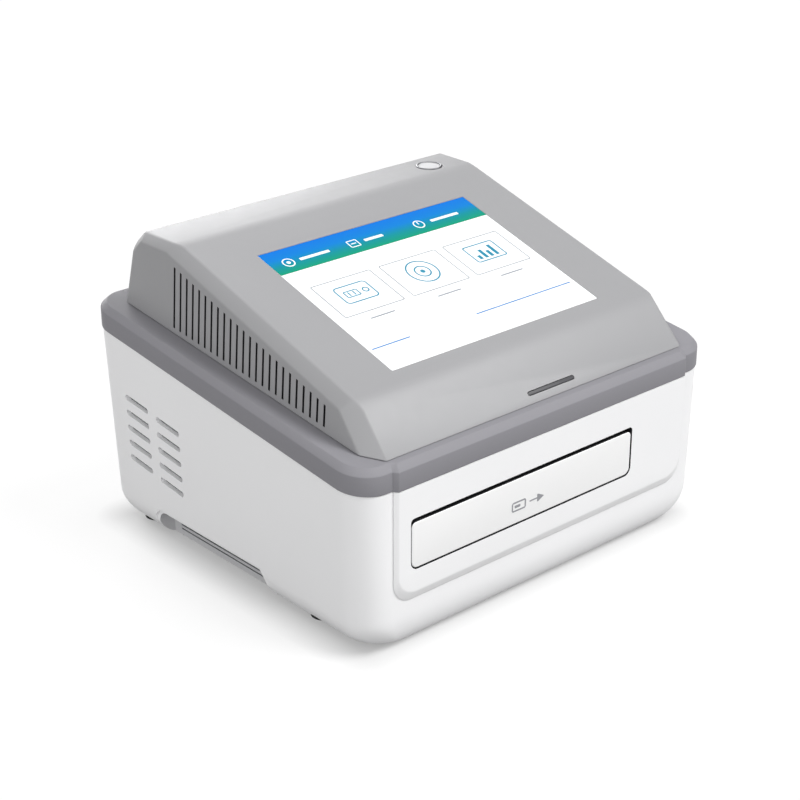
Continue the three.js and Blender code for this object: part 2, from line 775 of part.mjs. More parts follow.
const capTop = topZ + powerButton.proud;
const capUnder = capTop - powerButton.capHeight;
const switchTop = switchBoardTop + powerButton.switchHeight;
place('power_button', join(
	rod('z', powerButton.capRadius, capUnder, capTop, buttonAt, powerButton.capRadius, 32),
	rod('z', powerButton.stemRadius, switchTop + powerButton.travel + clearance,
		capUnder + powerButton.capHeight / 2, buttonAt, powerButton.stemRadius, 12)), whiteShell);

place('button_spring', tube('z', powerButton.springOuter, powerButton.springInner, switchBoardTop + clearance,
	capUnder - clearance, buttonAt, 16), steel);

place('switch_board', join(
	block(buttonX - powerButton.boardHalf, buttonX + powerButton.boardHalf, buttonY - powerButton.boardHalf / 2,
		buttonY + powerButton.boardHalf / 2, switchBoardTop - powerButton.boardThick, switchBoardTop),
	block(buttonX - powerButton.switchHalf, buttonX + powerButton.switchHalf, buttonY - powerButton.switchHalf,
		buttonY + powerButton.switchHalf, switchBoardTop - powerButton.boardThick / 2, switchTop)), boardGreen);

// Drawer: a front, a tray on two runners and an insert with a well for each test cassette

const wells = {
	width: 21.5,
	leastWall: 6.5,         // between two wells
	frontDepth: 16,
	strikerGap: 18.5,       // from the insert back to the latch's striker
	border: 5,
	insertHeight: 6.4,
};
const rail = {
	startDepth: 11,
	backGap: 7,             // from its rear end to the circuit board
	thick: 2.2,
	lip: 3.2,
	webDepth: 26,
	runner: 3,
	runnerHeight: 5,
	runnerInset: 5,
	footWidth: 12,
};

const bayMiddle = (bayLeft + bayRight) / 2;
const trayHalf = (bayRight - bayLeft) / 2 - drawer.sideInset;
const trayLeft = bayMiddle - trayHalf;
const trayRight = bayMiddle + trayHalf;
const trayBottom = drawerBay.bottom + drawer.trayRise;
const faceY = frontY + drawer.faceBack;

place('drawer_front', alongY(roundedShape(bayLeft + drawer.gap, bayRight - drawer.gap,
	drawerBay.bottom + drawer.gap, drawerBay.top - drawer.topGap,
	drawerBay.bottomRadius - drawer.gap, drawer.frontTopRadius), faceY, faceY + drawer.frontThick), whiteShell);

const trayFront = faceY + drawer.frontThick + clearance;
const trayBack = trayFront + drawer.trayDepth;
const trayTop = trayBottom + drawer.trayFloor;
const sideTop = trayBottom + drawer.traySideHeight;
place('drawer_tray', join(
	block(trayLeft, trayRight, trayFront, trayBack, trayBottom, trayTop),
	block(trayLeft, trayLeft + drawer.traySideThick, trayFront, trayBack, trayBottom, sideTop),
	block(trayRight - drawer.traySideThick, trayRight, trayFront, trayBack, trayBottom, sideTop),
	block(trayLeft, trayRight, trayFront, trayFront + drawer.traySideThick, trayBottom, sideTop)), darkPlastic);

function cassetteInsert() {
	const low = trayTop + clearance;
	const half = trayHalf - drawer.traySideThick - clearance;
	const count = Math.floor(2 * half / (wells.width + wells.leastWall));
	const pitch = 2 * half / count;
	const back = trayBackDepth - latch.strikerRoot - wells.strikerGap;
	let plate = block(bayMiddle - half, bayMiddle + half, at(wells.frontDepth - wells.border),
		at(back), low, low + wells.insertHeight);
	for (let i = 0; i < count; i++) {
		const x = bayMiddle - half + (i + 0.5) * pitch;
		plate = plate.subtract(block(x - wells.width / 2, x + wells.width / 2, at(wells.frontDepth),
			at(back - wells.border), low - overrun, low + wells.insertHeight + overrun));
	}
	return plate;
}
place('cassette_insert', cassetteInsert(), whiteShell);

const runnerBottom = trayBottom + (drawer.traySideHeight - rail.runnerHeight) / 2;
const runnerTop = runnerBottom + rail.runnerHeight;
for (const [name, side] of [['left', -1], ['right', 1]]) {
	const sideFace = bayMiddle + side * (trayHalf + clearance);
	const outer = sideFace + side * rail.runner;
	place('runner_' + name, block(...spanOf(sideFace, outer), trayFront + rail.runnerInset, trayBack,
		runnerBottom, runnerTop), steel);

	// The fixed rail is a channel on a folded upright that stands on the tub's floor
	const web = outer + side * clearance;
	const webSpan = spanOf(web, web + side * rail.thick);
	const lipSpan = spanOf(web - side * rail.lip, web + side * rail.thick);
	const footSpan = spanOf(web + side * rail.thick, web - side * rail.footWidth);
	const railFront = at(rail.startDepth);
	const railBack = at(rearSpace - rail.backGap);
	const webFront = at(rail.webDepth);
	const lowerLip = runnerBottom - clearance;
	const upperLip = runnerTop + clearance;
	const footBottom = floorTop + clearance;
	place('rail_' + name, join(
		block(...webSpan, railFront, railBack, lowerLip - rail.thick, upperLip + rail.thick),
		block(...webSpan, webFront, railBack, footBottom, lowerLip),
		block(...lipSpan, railFront, railBack, upperLip, upperLip + rail.thick),
		block(...lipSpan, railFront, railBack, lowerLip - rail.thick, lowerLip),
		block(...footSpan, webFront, railBack, footBottom, footBottom + rail.thick)), steel);
}

// Push latch behind the tray, and the striker on the tray that it holds

const latchFront = trayBack + latch.gap;
const latchZ = trayBottom + drawer.traySideHeight / 2;
const striker = [bayMiddle - latch.strikerWidth / 2, bayMiddle + latch.strikerWidth / 2];
place('push_latch', cut(join(
	block(bayMiddle - latch.width / 2, bayMiddle + latch.width / 2, latchFront, latchFront + latch.depth,
		latchZ - latch.height / 2, latchZ + latch.height / 2),
	block(bayMiddle - latch.postWidth / 2, bayMiddle + latch.postWidth / 2, latchFront + latch.depth / 2,
		latchFront + latch.depth, floorTop + clearance, latchZ)),
block(bayMiddle - latch.jaw / 2, bayMiddle + latch.jaw / 2, latchFront - overrun,
	latchFront + latch.jawDepth, latchZ - latch.jaw / 2, latchZ + latch.jaw / 2)), darkPlastic);
place('latch_striker', join(
	block(...striker, trayBack - latch.strikerRoot, latchFront + latch.strikerReach,
		latchZ - latch.strikerHeight / 2, latchZ + latch.strikerHeight / 2),
	block(...striker, trayBack - latch.strikerRoot, trayBack - latch.strikerRoot / 2,
		trayTop + clearance, latchZ)), steel);

// Scanner over the tray: a bridge, two guide rods, a lead screw, its motor, and the optical carriage

const scan = {
	legGap: 16,             // from the tray's side to the bridge's leg
	legThick: 2,
	legFront: 32,
	legBack: 82,
	footWidth: 6,
	aboveTray: 4.5,         // from the tray's side to the lens barrel
	barrelHeight: 7.5,
	rodRadius: 3,
	rodFront: 38,
	rodBack: 76,
	rodRise: 6,             // from the carriage's underside to the guide rods
	screwRadius: 3,
	screwDepth: 57,
	screwRise: 9,           // from the guide rods to the lead screw
	carriageRise: 4.5,      // from the lead screw to the carriage's top
	beamGap: 2.9,
	motorHalf: 14,
	motorLength: 24,
	shaftReach: 9,
	shaftGap: 2,
	carriageHalf: 15,
	carriageMargin: 6,      // beyond the guide rods
	running: 0.35,
	bearingOuter: 7,
	bearingLength: 6,
	rodEnd: 2,
};
const scanLeft = trayLeft - scan.legGap;
const scanRight = trayRight + scan.legGap;
const beam = [at(scan.legFront), at(scan.legBack)];
const barrelBottom = sideTop + scan.aboveTray;
const carriageBottom = barrelBottom + scan.barrelHeight;
const rodZ = carriageBottom + scan.rodRise;
const screwZ = rodZ + scan.screwRise;
const carriageTop = screwZ + scan.carriageRise;
const beamZ = carriageTop + scan.beamGap;
const screwAt = [at(scan.screwDepth), screwZ];
const rodPlaces = [[at(scan.rodFront), rodZ], [at(scan.rodBack), rodZ]];

// A bore right through, along X
const boreX = (radius, place) => rod('x', radius, -farAway, farAway, place, radius, 24);

function scanBridge() {
	const footBottom = floorTop + clearance;
	const sides = [[scanLeft, -1], [scanRight, 1]].flatMap(([face, side]) => [
		block(...spanOf(face, face + side * scan.legThick), ...beam, footBottom, beamZ + scan.legThick),
		block(...spanOf(face, face + side * scan.footWidth), ...beam, footBottom, footBottom + scan.legThick),
	]);
	const top = block(scanLeft - scan.legThick, scanRight + scan.legThick, ...beam, beamZ, beamZ + scan.legThick);
	return cut(join(top, ...sides), ...rodPlaces.map(place => boreX(scan.rodRadius + clearance, place)),
		boreX(scan.screwRadius + clearance, screwAt));
}
place('scan_bridge', scanBridge(), steel);

for (const [i, name] of ['front', 'back'].entries()) {
	place('guide_rod_' + name, rod('x', scan.rodRadius, scanLeft - scan.legThick - scan.rodEnd,
		scanRight + scan.legThick + scan.rodEnd, rodPlaces[i]), steel);
}

const motorFace = scanRight + scan.legThick + clearance;
const screwEnd = scanLeft - scan.legThick - scan.bearingLength;
const shaftEnd = motorFace + scan.shaftReach - scan.shaftGap;
place('lead_screw', rod('x', scan.screwRadius, screwEnd, shaftEnd, screwAt), steel);
place('screw_bearing', tube('x', scan.bearingOuter, scan.screwRadius + scan.running, screwEnd,
	scanLeft - scan.legThick - clearance, screwAt), steel);
place('scan_motor', cut(
	block(motorFace, motorFace + scan.motorLength, screwAt[0] - scan.motorHalf, screwAt[0] + scan.motorHalf,
		screwZ - scan.motorHalf, screwZ + scan.motorHalf),
	rod('x', scan.screwRadius + scan.running, motorFace - overrun, motorFace + scan.shaftReach, screwAt)),
darkPlastic);

const optics = {
	barrelRadius: 8,
	barrelInner: 5,
	lensRise: 2,
	lensThick: 2,
	lampOuter: 12,
	lampThick: 1.6,
	lampRise: 1.2,
	boardHalf: 12,
	boardThick: 1.6,
};
const opticsAt = [bayMiddle, screwAt[0]];
const barrelTop = carriageBottom - clearance;

function carriage() {
	const form = block(bayMiddle - scan.carriageHalf, bayMiddle + scan.carriageHalf,
		at(scan.rodFront - scan.carriageMargin), at(scan.rodBack + scan.carriageMargin), carriageBottom, carriageTop);
	return cut(form, ...rodPlaces.map(place => boreX(scan.rodRadius + scan.running, place)),
		boreX(scan.screwRadius + scan.running, screwAt),
		rod('z', optics.barrelInner, -overrun, rodZ, opticsAt));
}
place('optic_carriage', carriage(), darkPlastic);

place('lens_barrel', tube('z', optics.barrelRadius, optics.barrelInner, barrelBottom, barrelTop, opticsAt),
	darkPlastic);
place('objective_lens', rod('z', optics.barrelInner - clearance, barrelBottom + optics.lensRise,
	barrelBottom + optics.lensRise + optics.lensThick, opticsAt), glassBlack);
place('lamp_ring', tube('z', optics.lampOuter, optics.barrelRadius + clearance,
	barrelTop - optics.lampRise - optics.lampThick, barrelTop - optics.lampRise, opticsAt), boardGreen);
place('detector_board', block(opticsAt[0] - optics.boardHalf, opticsAt[0] + optics.boardHalf,
	opticsAt[1] - optics.boardHalf, opticsAt[1] + optics.boardHalf, carriageTop + clearance,
	carriageTop + clearance + optics.boardThick), boardGreen);

// Circuit board on its pillars, with the sockets on its rear edge, and the power module beside it

place('main_board', block(boardLeft, boardRight, at(rearSpace), at(boardBack),
	mainBoard.bottom, mainBoard.bottom + mainBoard.thick), boardGreen);

const socket = {
	depthBack: 16,
	stop: 3,
	usbWidth: 14.4,
	usbHeight: 7,
	usbWall: 0.9,
	usbFirst: -22,
	usbPitch: 20,
	netX: 22,
	netWidth: 16,
	netHeight: 13.4,
	netWall: 1.8,
	inletX: 44,
	inletWidth: 14,
	inletHeight: 12,
	inletHole: 4.2,
	inletPin: 1.2,
};
const socketBottom = mainBoard.bottom + mainBoard.thick + clearance;
const rearPlate = { thick: 2, recess: 0.6 };
const plateBack = backY - wallInset(rearOpeningTop) - rearPlate.recess;
const plateFront = plateBack - rearPlate.thick;
const socketFront = plateBack - socket.depthBack;
const socketPlaces = [];

function hollowSocket(x, width, height, wall) {
	socketPlaces.push([x, width, height]);
	return cut(
		block(x - width / 2, x + width / 2, socketFront, plateBack, socketBottom, socketBottom + height),
		block(x - width / 2 + wall, x + width / 2 - wall, socketFront + socket.stop, plateBack + overrun,
			socketBottom + wall, socketBottom + height - wall));
}
for (let i = 0; i < 2; i++) {
	place('usb_socket_' + (i + 1), hollowSocket(socket.usbFirst + i * socket.usbPitch, socket.usbWidth,
		socket.usbHeight, socket.usbWall), steel);
}
place('network_socket', hollowSocket(socket.netX, socket.netWidth, socket.netHeight, socket.netWall), steel);

function powerInlet() {
	socketPlaces.push([socket.inletX, socket.inletWidth, socket.inletHeight]);
	const middle = [socket.inletX, socketBottom + socket.inletHeight / 2];
	const shell = block(socket.inletX - socket.inletWidth / 2, socket.inletX + socket.inletWidth / 2,
		socketFront, plateBack, socketBottom, socketBottom + socket.inletHeight);
	const hole = rod('y', socket.inletHole, socketFront + socket.stop, plateBack + overrun, middle);
	const pin = rod('y', socket.inletPin, socketFront + socket.stop / 2, plateFront, middle, socket.inletPin, 12);
	return join(cut(shell, hole), pin);
}
place('power_inlet', powerInlet(), darkPlastic);

function rearSocketPlate() {
	const plate = block(clearance - rearOpening.half, rearOpening.half - clearance, plateFront, plateBack,
		rearOpeningBottom + clearance, rearOpeningTop - clearance);
	return cut(plate, ...socketPlaces.map(([x, width, height]) => block(x - width / 2 - clearance,
		x + width / 2 + clearance, plateBack - overrun, plateBack + overrun,
		socketBottom - clearance, socketBottom + height + clearance)));
}
place('rear_plate', rearSocketPlate(), darkPlastic);

place('power_module', block(moduleLeft, moduleLeft + powerModule.width, at(rearSpace), at(moduleBack), floorTop + clearance, floorTop + clearance + powerModule.height), steel);

// Cooling: a dust filter behind each set of slots, and a fan behind the left one

const filter = { thick: 2 };
const filterBottom = ventZ(lowerVent.columns - 1, lowerVent.rows - 1) - lowerVent.zone;
const filterTop = ventZ(0, 0) + lowerVent.zone;
const filterReach = lowerVent.length / 2 + lowerVent.zone;
for (const [name, side] of [['left', -1], ['right', 1]]) {
	const outer = z => side * (innerWallX(z) - clearance);
	const inner = z => side * (innerWallX(z) - clearance - filter.thick);
	const outline = [[outer(filterBottom), filterBottom], [outer(filterTop), filterTop],
		[inner(filterTop), filterTop], [inner(filterBottom), filterBottom]];
	place('dust_filter_' + name, alongY(outline, at(ventDepth(lowerVent.columns - 1) - filterReach),
		at(ventDepth(0) + filterReach)), smoked);
}

const fan = {
	half: 25,
	thick: 14,
	bore: 23,
	hub: 9,
	blades: 7,
	bladeThick: 1.4,
	bladePitchDeg: 34,
	tip: 21.5,
	spokes: 3,
	spokeWidth: 2.4,
	spokeThick: 1.6,
	mount: 11,
	pin: 1.2,
};
const fanZ = ventZ(0, (lowerVent.rows - 1) / 2) - lowerVent.columnDrop / 2;
const fanAt = [at(ventDepth(0) - lowerVent.columnPitch / 2), fanZ];
const fanOuter = filter.thick + 2 * clearance - innerWallX(fanZ - fan.half);
const fanInner = fanOuter + fan.thick;

function fanFrame() {
	const parts = [rod('x', fan.mount, fanInner - fan.spokeThick, fanInner, fanAt)];
	for (let i = 0; i < fan.spokes; i++) {
		const length = (fan.bore + fan.half) / 2 - fan.pin;
		const spoke = new THREE.BoxGeometry(fan.spokeThick, fan.spokeWidth, length);
		spoke.translate(0, 0, fan.pin + length / 2);
		spoke.rotateX(i / fan.spokes * 2 * Math.PI);
		spoke.translate(fanInner - fan.spokeThick / 2, ...fanAt);
		parts.push(solidOf(spoke));
	}
	parts.push(rod('x', fan.pin, fanInner - fan.thick / 2, fanInner - fan.spokeThick / 2, fanAt, fan.pin, 12));
	const frame = block(fanOuter, fanInner, fanAt[0] - fan.half, fanAt[0] + fan.half,
		fanZ - fan.half, fanZ + fan.half);
	const bore = rod('x', fan.bore, fanOuter - overrun, fanInner + overrun, fanAt, fan.bore, 32);
	return join(cut(frame, bore), ...parts);
}
place('fan_frame', fanFrame(), darkPlastic);

function fanRotor() {
	const inner = fanInner - fan.spokeThick - clearance;
	const outer = fanOuter + fan.spokeThick;
	const blades = [];
	for (let i = 0; i < fan.blades; i++) {
		const length = fan.tip - fan.hub / 2;
		const blade = new THREE.BoxGeometry(inner - outer - fan.bladeThick, fan.bladeThick, length);
		blade.rotateZ(radians(fan.bladePitchDeg));
		blade.translate(0, 0, fan.hub / 2 + length / 2);
		blade.rotateX(i / fan.blades * 2 * Math.PI);
		blade.translate((inner + outer) / 2, ...fanAt);
		blades.push(solidOf(blade));
	}
	const bore = rod('x', fan.pin + scan.running, fanInner - fan.thick / 2 - clearance, farAway, fanAt,
		fan.pin + scan.running, 12);
	return cut(join(rod('x', fan.hub, outer, inner, fanAt), ...blades), bore);
}
place('fan_rotor', fanRotor(), darkPlastic);

// Feet under the rounded corners, cut to fit the housing's curved floor

const foot = { radius: 8, sideInset: 24, frontDepth: 61, backInset: 25, rise: 12, skin: 0.6 };
const tubSkin = tubForm(-foot.skin);
for (const [row, depth] of [['front', foot.frontDepth], ['back', bodyDepth - foot.backInset]]) {
	for (const [name, side] of [['left', -1], ['right', 1]]) {
		const middle = [side * (halfWidth - foot.sideInset), at(depth)];
		place('foot_' + row + '_' + name, cut(rod('z', foot.radius, 0, foot.rise, middle), tubSkin), rubber);
	}
}

// Case screws, from below through the bosses into the band

bossPlaces.forEach(({ x, depth }, index) => {
	const head = floorTop + caseScrew.rise - clearance;
	const middle = [x, at(depth)];
	place('case_screw_' + (index + 1), join(
		rod('z', caseScrew.headRadius, head - caseScrew.headHeight, head, middle, caseScrew.headRadius, 16),
		rod('z', caseScrew.radius, head - caseScrew.headHeight / 2, bandZ(depth, band.face) - caseScrew.tipGap,
			middle, caseScrew.radius, 12)), steel);
});

export default reader;
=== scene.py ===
import json
import math

import bmesh
import bpy
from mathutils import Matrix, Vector


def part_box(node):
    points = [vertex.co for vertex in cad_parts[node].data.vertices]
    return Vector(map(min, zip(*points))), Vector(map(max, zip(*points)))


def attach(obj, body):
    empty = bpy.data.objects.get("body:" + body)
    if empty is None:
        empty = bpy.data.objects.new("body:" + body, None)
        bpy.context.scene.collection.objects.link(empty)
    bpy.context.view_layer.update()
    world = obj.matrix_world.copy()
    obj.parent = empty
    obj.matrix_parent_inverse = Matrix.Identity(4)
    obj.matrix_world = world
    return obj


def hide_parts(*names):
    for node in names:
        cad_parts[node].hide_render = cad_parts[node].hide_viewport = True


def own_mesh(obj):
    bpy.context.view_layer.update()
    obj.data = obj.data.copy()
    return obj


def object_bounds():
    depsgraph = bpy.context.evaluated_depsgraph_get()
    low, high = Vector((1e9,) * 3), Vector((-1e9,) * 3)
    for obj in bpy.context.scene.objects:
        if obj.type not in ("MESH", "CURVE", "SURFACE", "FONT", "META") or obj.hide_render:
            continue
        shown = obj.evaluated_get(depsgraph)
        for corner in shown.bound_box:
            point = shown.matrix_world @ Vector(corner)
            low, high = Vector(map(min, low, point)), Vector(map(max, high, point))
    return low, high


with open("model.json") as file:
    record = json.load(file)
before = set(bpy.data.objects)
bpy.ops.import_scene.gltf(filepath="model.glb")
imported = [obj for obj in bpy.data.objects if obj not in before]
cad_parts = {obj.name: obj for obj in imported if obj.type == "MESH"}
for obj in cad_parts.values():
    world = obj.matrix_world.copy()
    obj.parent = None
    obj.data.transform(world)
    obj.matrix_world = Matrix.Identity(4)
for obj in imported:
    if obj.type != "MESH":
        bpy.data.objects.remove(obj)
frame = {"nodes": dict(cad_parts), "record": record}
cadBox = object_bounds()
mm = 0.001
near = 0.01     # millimetres within which two places count as the same
facing = 0.9    # part of a normal that counts as looking one way
print("frame loaded,", len(frame["nodes"]), "nodes")

# The reader's main sizes, in millimetres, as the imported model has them
body = {"width": 277, "depth": (cadBox[1][1] - cadBox[0][1]) / mm, "footHeight": 2, "panelProud": 2.5,
        "clearance": 0.3, "overrun": 6}
screen = {"width": 161.2, "height": 120, "slope": 16.6, "frontDepth": 42, "frontZ": 143.9}
band = {"slope": 6.92, "frontZ": 98.3, "face": 11.3, "chamfer": 3.6, "cornerRadius": 19, "panelHalf": 113.3,
        "shelfInset": 28, "backShelf": 20, "holeRadius": 9, "raisedGap": 2, "softness": 0.4}

halfWidth = body["width"] / 2
frontY = -body["depth"] / 2
bandTop = band["face"] + band["chamfer"]
footRise = bandTop + body["clearance"]
bandTilt = math.radians(band["slope"])
bandUp = Vector((0, -math.sin(bandTilt), math.cos(bandTilt)))
slopeAngle = math.radians(screen["slope"])


def at(depth):
    return frontY + depth


def bandZ(depth, rise=0):
    return band["frontZ"] + depth * math.tan(bandTilt) + rise


def screenZ(depth):
    return screen["frontZ"] + (depth - screen["frontDepth"]) * math.tan(slopeAngle)


# Forms that the band's sloping planes trim later start and end here
formLow, formHigh = band["frontZ"] - body["overrun"], bandZ(body["depth"], bandTop + body["overrun"])


# Selecting and editing, as by hand

def deselectAll():
    if bpy.context.mode != "OBJECT":
        bpy.ops.object.mode_set(mode="OBJECT")
    bpy.ops.object.select_all(action="DESELECT")


def activate(piece):
    deselectAll()
    piece.select_set(True)
    bpy.context.view_layer.objects.active = piece


def openMesh(piece):
    activate(piece)
    bpy.ops.object.mode_set(mode="EDIT")
    bpy.ops.mesh.select_all(action="SELECT")


def closeMesh():
    bpy.ops.mesh.select_all(action="SELECT")
    bpy.ops.mesh.normals_make_consistent(inside=False)
    bpy.ops.object.mode_set(mode="OBJECT")


def selectWhere(piece, kind, test):
    bpy.ops.mesh.select_mode(type=kind)
    bpy.ops.mesh.select_all(action="DESELECT")
    mesh = bmesh.from_edit_mesh(piece.data)
    parts = {"VERT": mesh.verts, "EDGE": mesh.edges, "FACE": mesh.faces}[kind]
    for part in parts:
        if test(part):
            part.select_set(True)
    mesh.select_flush_mode()
    bmesh.update_edit_mesh(piece.data)


def middleOf(part):
    return sum((vert.co for vert in part.verts), Vector()) / len(part.verts) / mm


def onPlane(part, point, normal):
    return all(abs((vert.co / mm - Vector(point)).dot(Vector(normal))) < 2 * near for vert in part.verts)


def atPlace(part, place, axes="xyz"):
    # whether the middle of a part has the place's values on the given axes
    middle = middleOf(part)
    return all(abs(getattr(middle, axis) - value) < near for axis, value in zip(axes, place))


def isUpright(edge):
    return abs(edge.verts[0].co.z - edge.verts[1].co.z) > facing * edge.calc_length()


def extrudeUp(height):
    bpy.ops.mesh.extrude_region_move(TRANSFORM_OT_translate={"value": (0, 0, height * mm)})


def bevelEdges(width, segments):
    bpy.ops.mesh.bevel(offset=width * mm, segments=segments, affect="EDGES")


def trim(piece, point, normal):
    # what lies on the side that the normal points to is cut off, and the cut is closed
    openMesh(piece)
    bpy.ops.mesh.bisect(plane_co=Vector(point) * mm, plane_no=Vector(normal).normalized(),
                        use_fill=True, clear_outer=True)
    closeMesh()


def applyModifier(piece, kind, **settings):
    activate(piece)
    modifier = piece.modifiers.new(kind.title(), kind)
    for name, value in settings.items():
        setattr(modifier, name, value)
    bpy.ops.object.modifier_apply(modifier=modifier.name)


def combine(piece, tool, operation="DIFFERENCE"):
    # the tool's faces bring their own material along
    applyModifier(piece, "BOOLEAN", object=tool, operation=operation, solver="EXACT",
                  material_mode="TRANSFER")
    bpy.data.objects.remove(tool)


def repeat(piece, count, step):
    applyModifier(piece, "ARRAY", count=count, use_relative_offset=False, use_constant_offset=True,
                  constant_offset_displace=Vector(step) * mm)


def soften(piece, width, segments=3, angle=20):
    applyModifier(piece, "BEVEL", width=width * mm, segments=segments, limit_method="ANGLE",
                  angle_limit=math.radians(angle), use_clamp_overlap=True)


def duplicate(piece):
    activate(piece)
    bpy.ops.object.duplicate()
    return bpy.context.active_object


def putAt(piece, turn=(0, 0, 0), move=(0, 0, 0)):
    activate(piece)
    piece.rotation_euler = [math.radians(angle) for angle in turn]
    piece.location = Vector(move) * mm
    bpy.ops.object.transform_apply(location=True, rotation=True, scale=True)


def joinPieces(pieces):
    deselectAll()
    for piece in pieces:
        piece.select_set(True)
    bpy.context.view_layer.objects.active = pieces[0]
    if len(pieces) > 1:
        bpy.ops.object.join()
    return pieces[0]


def addBlock(name, low, high):
    deselectAll()
    bpy.ops.mesh.primitive_cube_add(size=mm, location=(Vector(low) + Vector(high)) / 2 * mm)
    block = bpy.context.active_object
    block.name = name
    block.scale = Vector(high) - Vector(low)
    bpy.ops.object.transform_apply(location=True, rotation=True, scale=True)
    return block


def addPlate(name, left, right, bottom, top, thick, bottomRadius=0, topRadius=0, segments=6):
    # a plate on the ground plane, with its two lower and its two upper corners rounded
    deselectAll()
    centre = Vector(((left + right) / 2, (bottom + top) / 2, 0))
    bpy.ops.mesh.primitive_plane_add(size=mm, location=centre * mm)
    plate = bpy.context.active_object
    plate.name = name
    bpy.ops.object.transform_apply(location=True)
    openMesh(plate)
    bpy.ops.transform.resize(value=(right - left, top - bottom, 1), center_override=centre * mm)
    for radius, side in ((bottomRadius, -1), (topRadius, 1)):
        if radius:
            selectWhere(plate, "VERT", lambda vert: (vert.co.y / mm - centre.y) * side > 0)
            bpy.ops.mesh.bevel(offset=radius * mm, segments=segments, affect="VERTICES")
    bpy.ops.mesh.select_all(action="SELECT")
    extrudeUp(thick)
    closeMesh()
    return plate


def sidesOf(form, extra=0):
    return form["left"] - extra, form["right"] + extra, form["bottom"] - extra, form["top"] + extra


def addDisc(name, radius, thick, vertices=48):
    deselectAll()
    bpy.ops.mesh.primitive_circle_add(vertices=vertices, radius=radius * mm, fill_type="NGON")
    disc = bpy.context.active_object
    disc.name = name
    openMesh(disc)
    extrudeUp(thick)
    closeMesh()
    return disc


def addRings(name, rings, radius, segments=10):
    # a body through rounded rectangles, each given as left, right, front, back and height
    left, right, front, back, bottom = rings[0]
    form = addPlate(name, left, right, front, back, rings[1][-1] - bottom, radius, radius, segments)
    putAt(form, move=(0, 0, bottom))
    openMesh(form)
    for lower, upper in zip(rings, rings[1:]):
        lowZ, highZ = lower[-1], upper[-1]
        if lower is not rings[0]:
            selectWhere(form, "FACE", lambda face: onPlane(face, (0, 0, lowZ), (0, 0, 1)))
            extrudeUp(highZ - lowZ)
        for index in range(4):
            axis, side = index // 2, 2 * (index % 2) - 1
            middle = (lower[2 * axis] + lower[2 * axis + 1]) / 2
            shift = [0, 0, 0]
            shift[axis] = (upper[index] - lower[index]) * mm
            selectWhere(form, "VERT", lambda vert: abs(vert.co.z / mm - highZ) < near
                        and (vert.co[axis] / mm - middle) * side > 0)
            bpy.ops.transform.translate(value=shift)
    closeMesh()
    return form


def coat(piece, paint):
    piece.data.materials.clear()
    piece.data.materials.append(paint)
    return piece


def finishPiece(piece, name, rides, paint=None, replaced=(), angle=32):
    activate(piece)
    bpy.ops.object.shade_smooth_by_angle(angle=math.radians(angle))
    piece.name = name
    piece.data.name = name
    if paint:
        coat(piece, paint)
    if replaced:
        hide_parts(*replaced)
    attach(piece, rides)
    return piece


# Materials: a socket that takes part in sums, and one method for every other node

class Wire:
    def __init__(self, tree, socket):
        self.tree, self.socket = tree, socket

    def sum(self, operation, first, second):
        return self.tree.node("ShaderNodeMath", {"operation": operation}, {0: first, 1: second})

    def __add__(self, other):
        return self.sum("ADD", self, other)

    def __radd__(self, other):
        return self.sum("ADD", other, self)

    def __sub__(self, other):
        return self.sum("SUBTRACT", self, other)

    def __rsub__(self, other):
        return self.sum("SUBTRACT", other, self)

    def __mul__(self, other):
        return self.sum("MULTIPLY", self, other)

    def __rmul__(self, other):
        return self.sum("MULTIPLY", other, self)

    def __truediv__(self, other):
        return self.sum("DIVIDE", self, other)

    def __gt__(self, other):
        return self.sum("GREATER_THAN", self, other)


class Tree:
    def __init__(self, owner, shader):
        owner.use_nodes = True
        self.nodes, self.links = owner.node_tree.nodes, owner.node_tree.links
        self.shader = self.nodes[shader]

    def node(self, kind, settings=None, inputs=None, output=0):
        made = self.nodes.new(kind)
        for key, value in (settings or {}).items():
            if key == "stops":
                ramp = made.color_ramp
                while len(ramp.elements) < len(value):
                    ramp.elements.new(0.5)
                for element, (position, colour) in zip(ramp.elements, value):
                    element.position, element.color = position, (*colour, 1)
            else:
                setattr(made, key, value)
        for key, value in (inputs or {}).items():
            if isinstance(value, Wire):
                self.links.new(value.socket, made.inputs[key])
            else:
                made.inputs[key].default_value = value
        return Wire(self, made.outputs[output])

    def feed(self, name, wire):
        self.links.new(wire.socket, self.shader.inputs[name])


